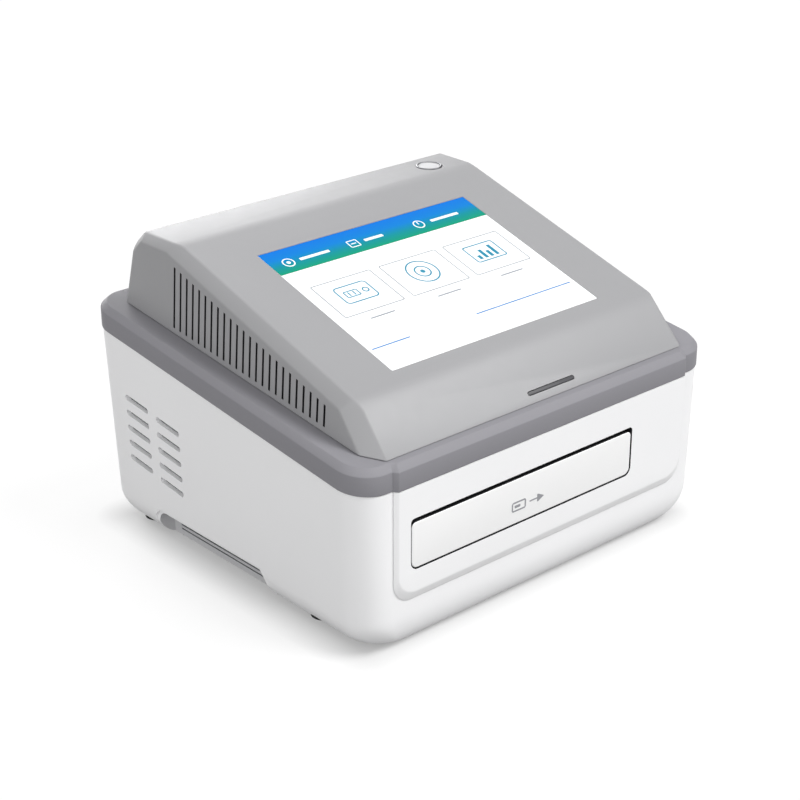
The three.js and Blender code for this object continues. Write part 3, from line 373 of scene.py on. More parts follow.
class Paint(Tree):
    def __init__(self, name, **constants):
        self.material = bpy.data.materials.new(name)
        super().__init__(self.material, "Principled BSDF")
        words = {"specularLevel": "Specular IOR Level", "coatWeight": "Coat Weight", "ior": "IOR",
                 "coatRoughness": "Coat Roughness", "transmission": "Transmission Weight",
                 "metallic": "Metallic", "roughness": "Roughness", "glow": "Emission Strength"}
        for key, value in constants.items():
            self.shader.inputs[words[key]].default_value = value
        self.place = self.node("ShaderNodeTexCoord", output="Object")

    def noise(self, scale, detail=2, roughness=0.5, stretch=(1, 1, 1)):
        place = self.node("ShaderNodeMapping", {}, {"Vector": self.place, "Scale": stretch})
        return self.node("ShaderNodeTexNoise", {},
                         {"Vector": place, "Scale": scale, "Detail": detail, "Roughness": roughness})

    def blendColours(self, share, first, second):
        mix = self.node("ShaderNodeMix", {"data_type": "RGBA"}, {0: share}, output=2)
        for slot, colour in ((6, first), (7, second)):
            target = mix.socket.node.inputs[slot]
            if isinstance(colour, Wire):
                self.links.new(colour.socket, target)
            else:
                target.default_value = (*colour, 1)
        return mix

    def tint(self, share, colour, darkest, lightest):
        self.feed("Base Color", self.blendColours(share, shade(colour, darkest), shade(colour, lightest)))

    def roughen(self, share, middle, spread):
        self.feed("Roughness", middle - spread / 2 + spread * share)

    def bump(self, height, strength, distance):
        self.feed("Normal", self.node("ShaderNodeBump", {},
                                      {"Strength": strength, "Distance": distance * mm, "Height": height}))


def linear(red, green, blue):
    # a colour as a paint program shows it, 0 to 255, in the linear values that the shader takes
    def one(value):
        share = value / 255
        return share / 12.92 if share <= 0.04045 else ((share + 0.055) / 1.055) ** 2.4
    return one(red), one(green), one(blue)


def shade(colour, factor):
    return tuple(min(1, value * factor) for value in linear(*colour))


def mouldedPlastic(name, colour, roughness, grain=0.08, tint=0.03, shine=0.4):
    paint = Paint(name, specularLevel=shine)
    clouds, speckle = paint.noise(scale=14, detail=3), paint.noise(scale=1400, roughness=0.6)
    paint.tint(0.75 * clouds + 0.25 * speckle, colour, darkest=1 - tint, lightest=1 + tint)
    paint.roughen(paint.noise(scale=160), roughness, spread=0.1)
    fine, coarse = paint.noise(scale=2600, roughness=0.6), paint.noise(scale=700, detail=1)
    paint.bump(fine + 0.4 * coarse, strength=grain, distance=0.2)
    return paint.material


def printedInk(name, colour):
    paint = Paint(name, specularLevel=0.3)
    paint.tint(paint.noise(scale=900, detail=1), colour, darkest=0.97, lightest=1.03)
    paint.roughen(paint.noise(scale=300, detail=1), middle=0.35, spread=0.06)
    return paint.material


def brushedSteel(name, colour, roughness):
    paint = Paint(name, metallic=1)
    streaks = paint.noise(scale=90, detail=3, roughness=0.6, stretch=(1, 30, 30))
    paint.tint(streaks, colour, darkest=0.88, lightest=1.06)
    paint.roughen(streaks, roughness, spread=0.18)
    paint.bump(streaks, strength=0.06, distance=0.1)
    return paint.material


def boardLaminate(name):
    paint = Paint(name, coatWeight=0.3, coatRoughness=0.2)
    cells = paint.node("ShaderNodeTexVoronoi", {"feature": "F1", "distance": "CHEBYCHEV"},
                       {"Vector": paint.place, "Scale": 210}, output="Distance")
    traceEdge = 0.82
    traces = (paint.noise(scale=120, detail=1) + 0.5 * cells) > traceEdge
    paint.feed("Base Color", paint.blendColours(traces, linear(24, 84, 54), linear(52, 128, 80)))
    paint.roughen(cells, middle=0.495, spread=0.15)
    paint.bump(traces, strength=0.3, distance=0.05)
    return paint.material


def openFoam(name, colour):
    paint = Paint(name, specularLevel=0.1)
    pores = paint.node("ShaderNodeTexVoronoi", {"feature": "F1"}, {"Vector": paint.place, "Scale": 900},
                       output="Distance")
    paint.tint(pores, colour, darkest=0.7, lightest=1.25)
    paint.roughen(pores, middle=0.94, spread=0.08)
    paint.bump(pores, strength=0.6, distance=0.5)
    return paint.material


def softRubber(name, colour):
    paint = Paint(name, specularLevel=0.25)
    grain = paint.noise(scale=1800, detail=3, roughness=0.7)
    paint.tint(grain, colour, darkest=0.8, lightest=1.3)
    paint.roughen(grain, middle=0.825, spread=0.15)
    paint.bump(grain, strength=0.2, distance=0.2)
    return paint.material


def clearLens(name):
    paint = Paint(name, transmission=1, ior=1.5, roughness=0.04)
    clouds = paint.noise(scale=60, detail=1)
    paint.feed("Base Color", paint.blendColours(clouds, (0.90, 0.95, 0.97), (0.97, 0.99, 1)))
    return paint.material


def litPicture(name):
    paint = Paint(name, coatWeight=0.6, coatRoughness=0.06, glow=0.12)
    pixels = paint.noise(scale=2200, detail=0)
    paint.feed("Base Color", paint.blendColours(pixels, linear(247, 249, 250), linear(252, 253, 254)))
    paint.shader.inputs["Emission Color"].default_value = (1, 1, 1, 1)
    paint.roughen(paint.noise(scale=40), middle=0.18, spread=0.04)
    return paint.material


def headerGlow(name, low, high, stops):
    # blue at the upper edge, green at the lower one, across the strip that two places on its middle line give
    paint = Paint(name, specularLevel=0.15)
    run = high - low
    rise = paint.node("ShaderNodeVectorMath", {"operation": "DOT_PRODUCT"},
                      {0: paint.place, 1: run / run.length_squared}, output="Value")
    wander = 0.02 * paint.noise(scale=80, detail=1) - 0.01
    share = rise - low.dot(run) / run.length_squared + wander
    paint.feed("Base Color", paint.node("ShaderNodeValToRGB", {"stops": stops}, {0: share}))
    paint.roughen(paint.noise(scale=40), middle=0.18, spread=0.04)
    return paint.material


def smokedWindow(name, colour):
    paint = Paint(name, coatWeight=0.15, coatRoughness=0.4)
    haze = paint.noise(scale=220)
    paint.tint(haze, colour, darkest=0.85, lightest=1.15)
    paint.roughen(haze, middle=0.54, spread=0.08)
    return paint.material


paints = {
    "white_shell": mouldedPlastic("white_shell", (249, 249, 250), roughness=0.42),
    # the hand pockets' insides: the white plastic painted darker, as painted shade of the recess
    "pocket_shaded_white": mouldedPlastic("pocket_shaded_white", (205, 205, 207), roughness=0.6, grain=0.2),
    "white_drawer": mouldedPlastic("white_drawer", (249, 249, 249), roughness=0.36, grain=0.05),
    "grey_band": mouldedPlastic("grey_band", (142, 141, 146), roughness=0.55, grain=0.12, shine=0.15),
    "grey_console": mouldedPlastic("grey_console", (157, 157, 159), roughness=0.44, grain=0.1),
    "screen_glass": litPicture("screen_glass"),
    "smoked_lens": smokedWindow("smoked_lens", (62, 62, 66)),
    "button_white": mouldedPlastic("button_white", (200, 200, 202), roughness=0.4, grain=0.04),
    "bright_ring": brushedSteel("bright_ring", (150, 151, 154), roughness=0.31),
    "dark_plastic": mouldedPlastic("dark_plastic", (28, 28, 31), roughness=0.6, grain=0.1, tint=0.1),
    "insert_white": mouldedPlastic("insert_white", (236, 238, 240), roughness=0.4),
    "steel": brushedSteel("steel", (196, 199, 203), roughness=0.33),
    "circuit_board": boardLaminate("circuit_board"),
    "optical_glass": clearLens("optical_glass"),
    "filter_foam": openFoam("filter_foam", (116, 117, 121)),
    "rubber_foot": softRubber("rubber_foot", (38, 38, 40)),
}
print("materials made")


# Lower housing: a tub with drafted walls, rounded lower edges and a hand pocket in each side

housing = {"wall": 2.8, "draft": 1.7, "bottomRadius": 20, "frontRound": 8, "reveal": 0.4, "roundSteps": 10}
bay = {"left": -105, "right": 68.4, "bottom": 48.7, "top": 79.5, "bottomRadius": 5, "topRadius": 2.5,
       "collarWall": 2, "collarDepth": 9, "lip": 0.2}
vents = {"rows": 5, "rowPitch": 9.8, "length": 22.5, "height": 3.5, "endRadius": 1.6, "columns": 2,
         "belowBand": 35.8, "columnDrop": 4.3, "rearInset": 42.4, "columnPitch": 30.1, "cutInset": 4}
pocket = {"frontDepth": 79, "length": 115, "top": 23.2, "frontRun": 12, "slant": 7, "inward": 16,
          "lining": 2.5, "backRadius": 9, "backSteps": 8, "midRadius": 5, "midSteps": 5, "margin": 1,
          "lipDepth": 1.8, "lip": 2.4}
grooves = {"count": 2, "bottom": 7.2, "pitch": 2.6, "height": 0.9, "depth": 1, "inset": 20}
rearOpening = {"half": 58, "bottom": 15, "top": 41, "cutDepth": 18}
rimBackZ = bandZ(body["depth"])


def wallInset(z):
    return housing["reveal"] + (rimBackZ - z) * math.tan(math.radians(housing["draft"]))


def trimUnderBand(form):
    trim(form, (0, frontY, bandZ(0) - body["clearance"]), bandUp)


def tubForm(name):
    rings = []
    middle = body["footHeight"] + housing["bottomRadius"]
    for step in range(housing["roundSteps"] + 1):
        angle = step / housing["roundSteps"] * math.pi / 2
        share = 1 - math.sin(angle)
        inset = wallInset(middle) + housing["bottomRadius"] * share
        front = body["panelProud"] + housing["frontRound"] * share
        rings.append((-halfWidth + inset, halfWidth - inset, frontY + front, -frontY - inset,
                      middle - housing["bottomRadius"] * math.cos(angle)))
    top = rimBackZ + body["overrun"]
    inset = wallInset(top)
    rings.append((-halfWidth + inset, halfWidth - inset, frontY + body["panelProud"], -frontY - inset, top))
    form = addRings(name, rings, band["cornerRadius"])
    trimUnderBand(form)
    return form


def sideBlock(name, side, outer, inner, front, back, bottom, top):
    # a block between two distances from the middle, on one side
    left, right = sorted((side * outer, side * inner))
    return addBlock(name, (left, front, bottom), (right, back, top))


def pocketForm(name, side, extra, bottom, outer, inner):
    front = at(pocket["frontDepth"]) - extra
    roof = at(pocket["frontDepth"] + pocket["frontRun"]) - extra / 2
    back = at(pocket["frontDepth"] + pocket["length"]) + extra
    top = pocket["top"] + extra
    slant = pocket["slant"]
    form = sideBlock(name, side, outer, inner, front, back, bottom, top)
    bend = (front + slant, top - slant)
    for (y0, z0), (y1, z1) in (((front, top - 2 * slant), bend), (bend, (roof, top))):
        trim(form, (0, y0, z0), (0, -(z1 - z0), y1 - y0))
    openMesh(form)
    rounds = (((back, top), pocket["backRadius"] + extra, pocket["backSteps"]),
              (bend, pocket["midRadius"], pocket["midSteps"]))
    for corner, radius, steps in rounds:
        selectWhere(form, "EDGE", lambda edge: atPlace(edge, corner, "yz"))
        bevelEdges(radius, steps)
    closeMesh()
    return form


def grooveForm(side, inner):
    front, back = at(pocket["frontDepth"] + grooves["inset"]), at(pocket["frontDepth"] + pocket["length"])
    form = sideBlock("grooves", side, inner, inner - grooves["depth"], front, back - pocket["backRadius"],
                     grooves["bottom"], grooves["bottom"] + grooves["height"])
    repeat(form, grooves["count"], (0, 0, grooves["pitch"]))
    return form


def ventCutter(side):
    cutters = []
    for column in range(vents["columns"]):
        depth = body["depth"] - vents["rearInset"] - column * vents["columnPitch"]
        z = bandZ(body["depth"] - vents["rearInset"]) - vents["belowBand"] - column * vents["columnDrop"]
        slot = addPlate("slot", -vents["length"] / 2, vents["length"] / 2, -vents["height"] / 2,
                        vents["height"] / 2, 2 * body["overrun"], vents["endRadius"], vents["endRadius"],
                        segments=4)
        putAt(slot, (0, 0, band["slope"]))
        putAt(slot, (90, 0, 90), (side * (halfWidth - vents["cutInset"]) - body["overrun"], at(depth), z))
        repeat(slot, vents["rows"], (0, 0, -vents["rowPitch"]))
        cutters.append(slot)
    return joinPieces(cutters)


def bayPlate(name, extra, thick):
    return addPlate(name, *sidesOf(bay, extra), thick, bay["bottomRadius"] + extra,
                    bay["topRadius"] + extra, segments=8)


def bayCutter(name, extra, front, back, lip=0):
    # drawn back from the front; its mouth flares by the lip
    cutter = bayPlate(name, extra, back - front)
    putAt(cutter, (90, 0, 0), (0, back, 0))
    if lip:
        mouth = bayPlate("mouth", extra + lip, 2 * lip)
        putAt(mouth, (90, 0, 0), (0, frontY + lip, 0))
        openMesh(mouth)
        selectWhere(mouth, "FACE", lambda face: middleOf(face).y > frontY + lip - near)
        centre = Vector((bay["left"] + bay["right"], 0, bay["bottom"] + bay["top"])) / 2
        wide, high = bay["right"] - bay["left"] + 2 * extra, bay["top"] - bay["bottom"] + 2 * extra
        inward = [(length - 2 * lip) / (length + 2 * lip) for length in (wide, high)]
        bpy.ops.transform.resize(value=(inward[0], 1, inward[1]), center_override=centre * mm)
        closeMesh()
        combine(cutter, mouth, "UNION")
    return cutter


tub = tubForm("tub")
outerForm = duplicate(tub)
coat(tub, paints["white_shell"])
openMesh(tub)
selectWhere(tub, "FACE", lambda face: face.normal.z > facing)
bpy.ops.mesh.delete(type="FACE")
bpy.ops.object.mode_set(mode="OBJECT")
applyModifier(tub, "SOLIDIFY", thickness=housing["wall"] * mm, offset=-1, use_even_offset=True)
inner = halfWidth - pocket["inward"]
for side in (-1, 1):
    lining = pocketForm("lining", side, pocket["lining"], body["footHeight"] - pocket["margin"],
                        halfWidth + pocket["margin"], inner - pocket["lining"])
    applyModifier(lining, "BOOLEAN", object=outerForm, operation="INTERSECT", solver="EXACT")
    combine(tub, coat(lining, paints["white_shell"]), "UNION")
for side in (-1, 1):
    mouth = pocketForm("hand_cut", side, 0, -body["overrun"], halfWidth + body["overrun"],
                       halfWidth - wallInset(pocket["top"]) - pocket["lipDepth"])
    inside = pocketForm("hand_cut", side, -pocket["lip"], -body["overrun"], halfWidth, inner)
    combine(tub, coat(mouth, paints["white_shell"]))
    # the pocket's inside takes the darker white, painted shade in the recess
    combine(tub, coat(inside, paints["pocket_shaded_white"]))
    # the grooves take the band's grey: painted shade, so that they show as dark lines in the pocket
    combine(tub, coat(grooveForm(side, inner), paints["grey_band"]))
    combine(tub, coat(ventCutter(side), paints["white_shell"]))
combine(tub, bayCutter("bay_cut", bay["collarWall"] + body["clearance"], frontY - body["overrun"],
                       at(body["panelProud"] + housing["wall"] + body["overrun"])))
rearInside = -frontY - rearOpening["cutDepth"]
combine(tub, addBlock("rear_cut", (-rearOpening["half"], rearInside, rearOpening["bottom"]),
                      (rearOpening["half"], -frontY + body["overrun"], rearOpening["top"])))
bpy.data.objects.remove(outerForm)
finishPiece(tub, "housing_tub", "case", replaced=["lower_housing"])
print("housing made")


# Raised front panel, with the soft lip and the collar of the drawer's opening

panel = {"bottom": 30, "cornerRadius": 13, "chamfer": 2.4, "bottomChamfer": 5.4, "softness": 0.7}

outerHalf = band["panelHalf"] + panel["chamfer"]
panelTop = bandZ(0) + body["overrun"]
panelThick = body["panelProud"] - body["clearance"]
plate = addPlate("panel", -outerHalf, outerHalf, panel["bottom"], panelTop, panelThick,
                 panel["cornerRadius"], segments=10)
openMesh(plate)
selectWhere(plate, "FACE", lambda face: face.normal.z > facing)
narrow = band["panelHalf"] / outerHalf
shorten = (panelTop - panel["bottom"] - panel["bottomChamfer"]) / (panelTop - panel["bottom"])
bpy.ops.transform.resize(value=(narrow, shorten, 1), center_override=(0, panelTop * mm, 0))
closeMesh()
putAt(plate, (90, 0, 0), (0, at(panelThick), 0))
soften(plate, panel["softness"], segments=4, angle=15)
coat(plate, paints["white_shell"])
# The collar and the walls of the opening take the dark plastic: painted shade, so that the gaps round the
# drawer show black.
collar = bayCutter("collar", bay["collarWall"], at(body["panelProud"] / 2), at(bay["collarDepth"]))
combine(plate, coat(collar, paints["dark_plastic"]), "UNION")
openingBack = at(bay["collarDepth"] + body["overrun"])
opening = bayCutter("opening", 0, frontY - body["overrun"], openingBack, bay["lip"])
combine(plate, coat(opening, paints["dark_plastic"]))
trimUnderBand(plate)
finishPiece(plate, "panel_front", "case", replaced=["front_panel"])
print("front panel made")


# Drawer front, and the small mark that is printed on it

drawer = {"gap": 0.8, "topGap": 2.8, "faceBack": 0.2, "thick": 3, "topRadius": 3, "softness": 0.5,
          "rimFacing": 0.35}

front = addPlate("front", bay["left"] + drawer["gap"], bay["right"] - drawer["gap"],
                 bay["bottom"] + drawer["gap"], bay["top"] - drawer["topGap"], drawer["thick"],
                 bay["bottomRadius"] - drawer["gap"], drawer["topRadius"], segments=10)
openMesh(front)
selectWhere(front, "EDGE", lambda edge: onPlane(edge, (0, 0, drawer["thick"]), (0, 0, 1)))
bevelEdges(drawer["softness"], segments=5)
closeMesh()
putAt(front, (90, 0, 0), (0, at(drawer["faceBack"] + drawer["thick"]), 0))
# The rim of the drawer face takes the dark plastic: painted shade, so that the gap round it shows black.
coat(front, paints["white_drawer"]).data.materials.append(paints["dark_plastic"])
openMesh(front)     # its rim is dark, so that the gap round it shows black
selectWhere(front, "FACE", lambda face: abs(face.normal.y) < drawer["rimFacing"])
front.active_material_index = 1
bpy.ops.object.material_slot_assign()
closeMesh()
finishPiece(front, "drawer_face", "drawer", replaced=["drawer_front"])

mark = {"left": -29.6, "bottom": 57, "width": 11, "height": 6, "radius": 1.4, "line": 0.9, "raise": 0.12,
        "sink": 0.1, "windowInset": 2.2, "windowRadius": 0.4, "stemGap": 3, "stem": 6, "stemLine": 0.8,
        "stemRadius": 0.2, "arrow": 5.4, "arrowHeight": 4.6, "arrowSteep": 2, "axis": 2.8}
faceY = at(drawer["faceBack"])


def markPlate(left, right, bottom, top, radius=0):
    # placed from the mark's lower left corner
    piece = addPlate("mark", mark["left"] + left, mark["left"] + right, mark["bottom"] + bottom,
                     mark["bottom"] + top, mark["raise"] + mark["sink"], radius, radius, segments=4)
    putAt(piece, (90, 0, 0), (0, faceY + mark["sink"], 0))
    return piece


wide, high, line, axis = mark["width"], mark["height"], mark["line"], mark["axis"]
outline = markPlate(0, wide, 0, high, mark["radius"])
low, far = Vector((mark["left"], faceY, mark["bottom"])), Vector((wide, 0, high))
combine(outline, addBlock("outline_cut", low + Vector((line, -body["overrun"], line)),
                          low + far + Vector((-line, body["overrun"], -line))))
window = markPlate(mark["windowInset"], wide - 2 * mark["windowInset"], mark["windowInset"],
                   high - mark["windowInset"], mark["windowRadius"])
stemStart = wide + mark["stemGap"]
stemEnd = stemStart + mark["stem"]
stem = markPlate(stemStart, stemEnd, axis - mark["stemLine"] / 2, axis + mark["stemLine"] / 2,
                 mark["stemRadius"])
tip = stemEnd + mark["arrow"]
head = markPlate(stemEnd, tip, axis - mark["arrowHeight"] / 2, axis + mark["arrowHeight"] / 2)
for side in (-1, 1):
    trim(head, (mark["left"] + tip, 0, mark["bottom"] + axis), (1, 0, side * mark["arrowSteep"]))
joined = joinPieces([outline, window, stem, head])
finishPiece(joined, "drawer_mark", "drawer", printedInk("mark_ink", (150, 151, 155)))
print("drawer front made")


# Band: a ring along the sloping rim, chamfered on top, with a raised part over the front panel

def bandTrim(form):
    trim(form, (0, frontY, bandZ(0)), -bandUp)
    trim(form, (0, frontY, bandZ(0, bandTop)), bandUp)


def chamferTop(form, back):
    # the edges of the sloping top that lie in front of a place
    openMesh(form)
    top = (0, frontY, bandZ(0, bandTop))
    selectWhere(form, "EDGE", lambda edge: onPlane(edge, top, bandUp) and middleOf(edge).y < back)
    bevelEdges(band["chamfer"], segments=1)
    closeMesh()


def bandRings(sideInset, front, back):
    outline = (-halfWidth + sideInset, halfWidth - sideInset, front, back)
    return [(*outline, formLow), (*outline, formHigh)]


ring = addRings("ring", bandRings(0, at(body["panelProud"]), -frontY), band["cornerRadius"], segments=14)
bandTrim(ring)
chamferTop(ring, -frontY + near)
soften(ring, band["softness"], angle=25)
raised = addBlock("raised", (-outerHalf, frontY, formLow),
                  (outerHalf, at(band["shelfInset"] - band["raisedGap"]), formHigh))
openMesh(raised)
selectWhere(raised, "EDGE", lambda edge: isUpright(edge) and middleOf(edge).y < frontY + near)
bevelEdges(panel["chamfer"], segments=1)
closeMesh()
bandTrim(raised)
chamferTop(raised, frontY + panel["chamfer"])
soften(raised, band["softness"], angle=25)
combine(ring, raised, "UNION")
holeRings = bandRings(band["shelfInset"], at(band["shelfInset"]), -frontY - band["backShelf"])
combine(ring, addRings("hole", holeRings, band["holeRadius"]))
finishPiece(ring, "rim_band", "case", paints["grey_band"], ["band_frame"])
print("band made")


# Console: flat faces with softened creases between them, hollow, with slots in both sides

console = {"footDepth": 7, "frontSlope": 48.5, "kneeRadius": 22, "kneeSteps": 9, "topRun": 26.2,
           "ridgeRadius": 30, "ridgeSteps": 5, "rearLedge": 16, "topInset": 14.5, "rearLean": 11,
           "rearChamfer": 45, "ledge": 14.5, "shoulder": 8.2, "sideLean": 4, "cornerCut": 3, "wall": 2.6,
           "softness": 1.7, "footSoftness": 0.7}
slots = {"count": 24, "firstDepth": 47.6, "pitch": 5.76, "width": 1.6, "footMargin": 3.4, "topMargin": 10.5}
recess = {"radius": 0.8, "paneRadius": 0.7, "paneDrop": 0.1, "paneThick": 2.9}
indicator = {"left": -8.3, "right": 28.8, "bottom": 4.8, "top": 7.6, "thick": 2.2, "cutRadius": 1.372,
             "lensRadius": 1.05, "softness": 0.25}
button = {"x": 91.3, "y": 76.5, "hole": 8.6, "ringOuter": 8.3, "ringInner": 7.2, "ringHeight": 5.2,
          "ringProud": 0.5, "ringSoftness": 0.3, "cap": 7, "capHeight": 3.6, "capProud": 0.3,
          "capSoftness": 0.7, "dish": 0.35, "stem": 1.6, "stemHeight": 6.4, "stemInCap": 1, "travel": 1.5}

footHalf = halfWidth - console["ledge"]
topHalf = footHalf - console["shoulder"]
rearFoot = body["depth"] - console["rearLedge"]
topBack = rearFoot - console["topInset"]
ridgeDepth = screen["frontDepth"] + screen["height"] * math.cos(slopeAngle) + console["topRun"]
topZ = screenZ(ridgeDepth)


def slopeNormal(slope):
    return Vector((0, -math.sin(slope), math.cos(slope)))


def roundFaces(depth, z, first, last, radius, steps):
    # faces that round off the crease between two slopes, where they meet at a depth and a height
    half = (first + last) / 2
    reach = radius / math.cos((first - last) / 2)
    centreDepth, centreZ = depth + reach * math.sin(half), z - reach * math.cos(half)
    faces = []
    for step in range(1, steps + 1):
        slope = first + (last - first) * step / (steps + 1)
        faces.append((centreDepth - radius * math.sin(slope), centreZ + radius * math.cos(slope), slope))
    return faces


def profileFaces():
    # from the foot in front over the top to the foot behind: a depth, a height and a slope for each
    steep = math.radians(console["frontSlope"])
    footZ = bandZ(console["footDepth"], footRise)
    steepRise, gentleRise = math.tan(steep), math.tan(slopeAngle)
    knee = (screenZ(0) - footZ + console["footDepth"] * steepRise) / (steepRise - gentleRise)
    faces = [(console["footDepth"], footZ, steep)]
    faces += roundFaces(knee, screenZ(knee), steep, slopeAngle, console["kneeRadius"], console["kneeSteps"])
    faces.append((screen["frontDepth"], screen["frontZ"], slopeAngle))
    faces += roundFaces(ridgeDepth, topZ, slopeAngle, 0, console["ridgeRadius"], console["ridgeSteps"])
    faces.append((topBack, topZ, 0))
    faces.append((topBack, topZ, -math.radians(console["rearChamfer"])))
    faces.append((rearFoot, bandZ(rearFoot, footRise), math.radians(console["rearLean"]) - math.pi / 2))
    return faces


def consoleForm(name, inset, below):
    form = addBlock(name, (-halfWidth, frontY, formLow), (halfWidth, -frontY, topZ + body["overrun"]))
    lean = math.tan(math.radians(console["sideLean"]))
    faces = profileFaces()

    def shave(point, normal):
        trim(form, Vector(point) - normal.normalized() * inset, normal)

    for depth, z, slope in faces:
        shave((0, at(depth), z), slopeNormal(slope))
    for side in (-1, 1):
        outward = Vector((side, -lean * math.tan(bandTilt), lean)).normalized()
        shave((side * footHalf, at(rearFoot), bandZ(rearFoot, footRise)), outward)
        for depth, z, slope in faces:
            edge = footHalf - console["cornerCut"] if slope < -math.pi / 4 else topHalf
            shave((side * edge, at(depth), z), outward + slopeNormal(slope))
    if not inset:
        soften(form, console["softness"], segments=4, angle=14)
    trim(form, (0, frontY, bandZ(0, footRise) - below), -bandUp)
    if not inset:
        openMesh(form)
        selectWhere(form, "EDGE", lambda edge: onPlane(edge, (0, frontY, bandZ(0, footRise)), bandUp))
        bevelEdges(console["footSoftness"], segments=2)
        closeMesh()
    return form


def onSlope(piece):
    putAt(piece, (screen["slope"], 0, 0), (0, at(screen["frontDepth"]), screen["frontZ"]))


def onFront(piece):
    putAt(piece, (console["frontSlope"], 0, 0),
          (0, at(console["footDepth"]), bandZ(console["footDepth"], footRise)))


def cutPlate(left, right, bottom, top, radius, place, segments=6):
    # a cutter through the console's wall, laid on one of its slopes
    cutter = addPlate("cut", left, right, bottom, top, 2 * body["overrun"], radius, radius, segments)
    putAt(cutter, move=(0, 0, -body["overrun"]))
    place(cutter)
    return cutter


def cutDisc(radius, x=0, y=0, z=0, vertices=64):
    cutter = addDisc("cut", radius, 2 * body["overrun"], vertices)
    putAt(cutter, move=(x, y, z - body["overrun"]))
    return cutter


shell = coat(consoleForm("shell", 0, 0), paints["grey_console"])
# The inside of the shell takes the dark plastic: painted shade, so that the slots and openings show black.
combine(shell, coat(consoleForm("hollow", console["wall"], body["overrun"]), paints["dark_plastic"]))
combine(shell, cutPlate(-screen["width"] / 2, screen["width"] / 2, 0, screen["height"], recess["radius"],
                        onSlope, segments=4))
combine(shell, cutPlate(*sidesOf(indicator), indicator["cutRadius"], onFront))
combine(shell, cutDisc(button["hole"], button["x"], button["y"], topZ))
blades = addBlock("blades", (-halfWidth, at(slots["firstDepth"] - slots["width"] / 2), formLow),
                  (halfWidth, at(slots["firstDepth"] + slots["width"] / 2), topZ))
repeat(blades, slots["count"], (0, slots["pitch"], 0))
trim(blades, (0, frontY, bandZ(0, footRise + slots["footMargin"])), -bandUp)
trim(blades, (0, frontY, screenZ(0) - slots["topMargin"]), slopeNormal(slopeAngle))
# the slot walls take the dark plastic too, painted shade in the slots
combine(shell, coat(blades, paints["dark_plastic"]))
finishPiece(shell, "console_body", "case", replaced=["console_shell"], angle=24)
print("console made")


# Screen: a glass pane with a plain generic menu drawn on it as thin ink, measured from its lower left corner

ink = {"thick": 0.03, "lift": 0.01, "layer": 0.04, "cutThick": 0.2, "leastRadius": 0.05}
header = {"bottom": 97.8, "stops": [(0, linear(20, 150, 112)), (0.3, linear(14, 140, 148)),
                                    (0.62, linear(10, 124, 204)), (1, linear(9, 114, 212))]}
menu = {"y": 106.8, "places": (12.7, 61.2, 112.8), "bars": ((20.9, 42.8), (69.5, 83.9), (122.4, 144.8)),
        "barHalf": 1.1, "barRadius": 0.5, "line": 0.8, "targetRadius": 4, "dotRadius": 1.3,
        "frameHalf": (3.8, 3.4), "frameRadius": 1, "dashHalf": (1.9, 0.4), "dialRadius": 3.9, "hand": 2.6}
cards = {"middles": (30.1, 80.8, 131), "y": 65.45, "half": (22.1, 16.25), "radius": 1.2, "line": 0.7,
         "captionY": 43.1, "captionHalf": (9, 0.5), "captionRadius": 0.3}
icon = {"y": 66.8, "line": 0.9, "thinLine": 0.8}
cassette = {"half": (12, 8), "radius": 2.8, "windowX": -3, "windowHalf": (5, 3), "windowRadius": 1,
            "lines": (-5, -1.4), "lineHalf": (0.4, 1.8), "wellX": 7, "wellRadius": 2.3}
disc = {"radii": (10.6, 5.4), "dot": 1.6}
chart = {"rise": 0.3, "half": (12, 8.3), "radius": 1.8, "start": -8.2, "pitch": 4.4, "barWidth": 2.4,
         "foot": -5.4, "bars": (3.8, 8.4, 6, 10.4)}
rules = {"spans": ((2.7, 30.2), (81, 157.2)), "bottom": 19.6, "top": 20.4}
gap = body["clearance"]

pane = addPlate("glass", gap - screen["width"] / 2, screen["width"] / 2 - gap, gap, screen["height"] - gap,
                recess["paneThick"], recess["paneRadius"], recess["paneRadius"], segments=4)
putAt(pane, move=(0, 0, -recess["paneDrop"] - recess["paneThick"]))
onSlope(pane)
finishPiece(pane, "screen_pane", "case", paints["screen_glass"], ["touch_glass"])


def lay(piece, x=0, y=0, layer=1):
    putAt(piece, move=(x - screen["width"] / 2, y, ink["lift"] - recess["paneDrop"] + layer * ink["layer"]))
    return piece


def inkPlate(left, right, bottom, top, radius=0, layer=1):
    return lay(addPlate("ink", left, right, bottom, top, ink["thick"], radius, radius), layer=layer)


def inkRing(x, y, radius, line):
    outer = addDisc("ring", radius, ink["thick"], vertices=40)
    combine(outer, cutDisc(radius - line, vertices=40))
    return lay(outer, x, y)


def inkDot(x, y, radius):
    return lay(addDisc("dot", radius, ink["thick"], vertices=24), x, y)


def inkBox(x, y, half, radius=0, line=0):
    # a filled box round a place, or a frame where a line's width is given
    wide, high = half
    box = inkPlate(x - wide, x + wide, y - high, y + high, radius)
    if line:
        hole = inkBox(x, y, (wide - line, high - line), max(radius - line, ink["leastRadius"]))
        applyModifier(hole, "SOLIDIFY", thickness=ink["cutThick"] * mm, offset=0)
        combine(box, hole)
    return box


def finishInk(pieces, name, paint):
    whole = joinPieces(pieces)
    onSlope(whole)
    finishPiece(whole, name, "case", paint)


def slopePoint(up):
    return Vector((0, at(screen["frontDepth"]) + up * math.cos(slopeAngle),
                   screen["frontZ"] + up * math.sin(slopeAngle))) * mm


strip = inkPlate(gap, screen["width"] - gap, header["bottom"], screen["height"] - gap, layer=0)
finishInk([strip], "screen_header", headerGlow("header_glow", slopePoint(header["bottom"]),
                                               slopePoint(screen["height"]), header["stops"]))

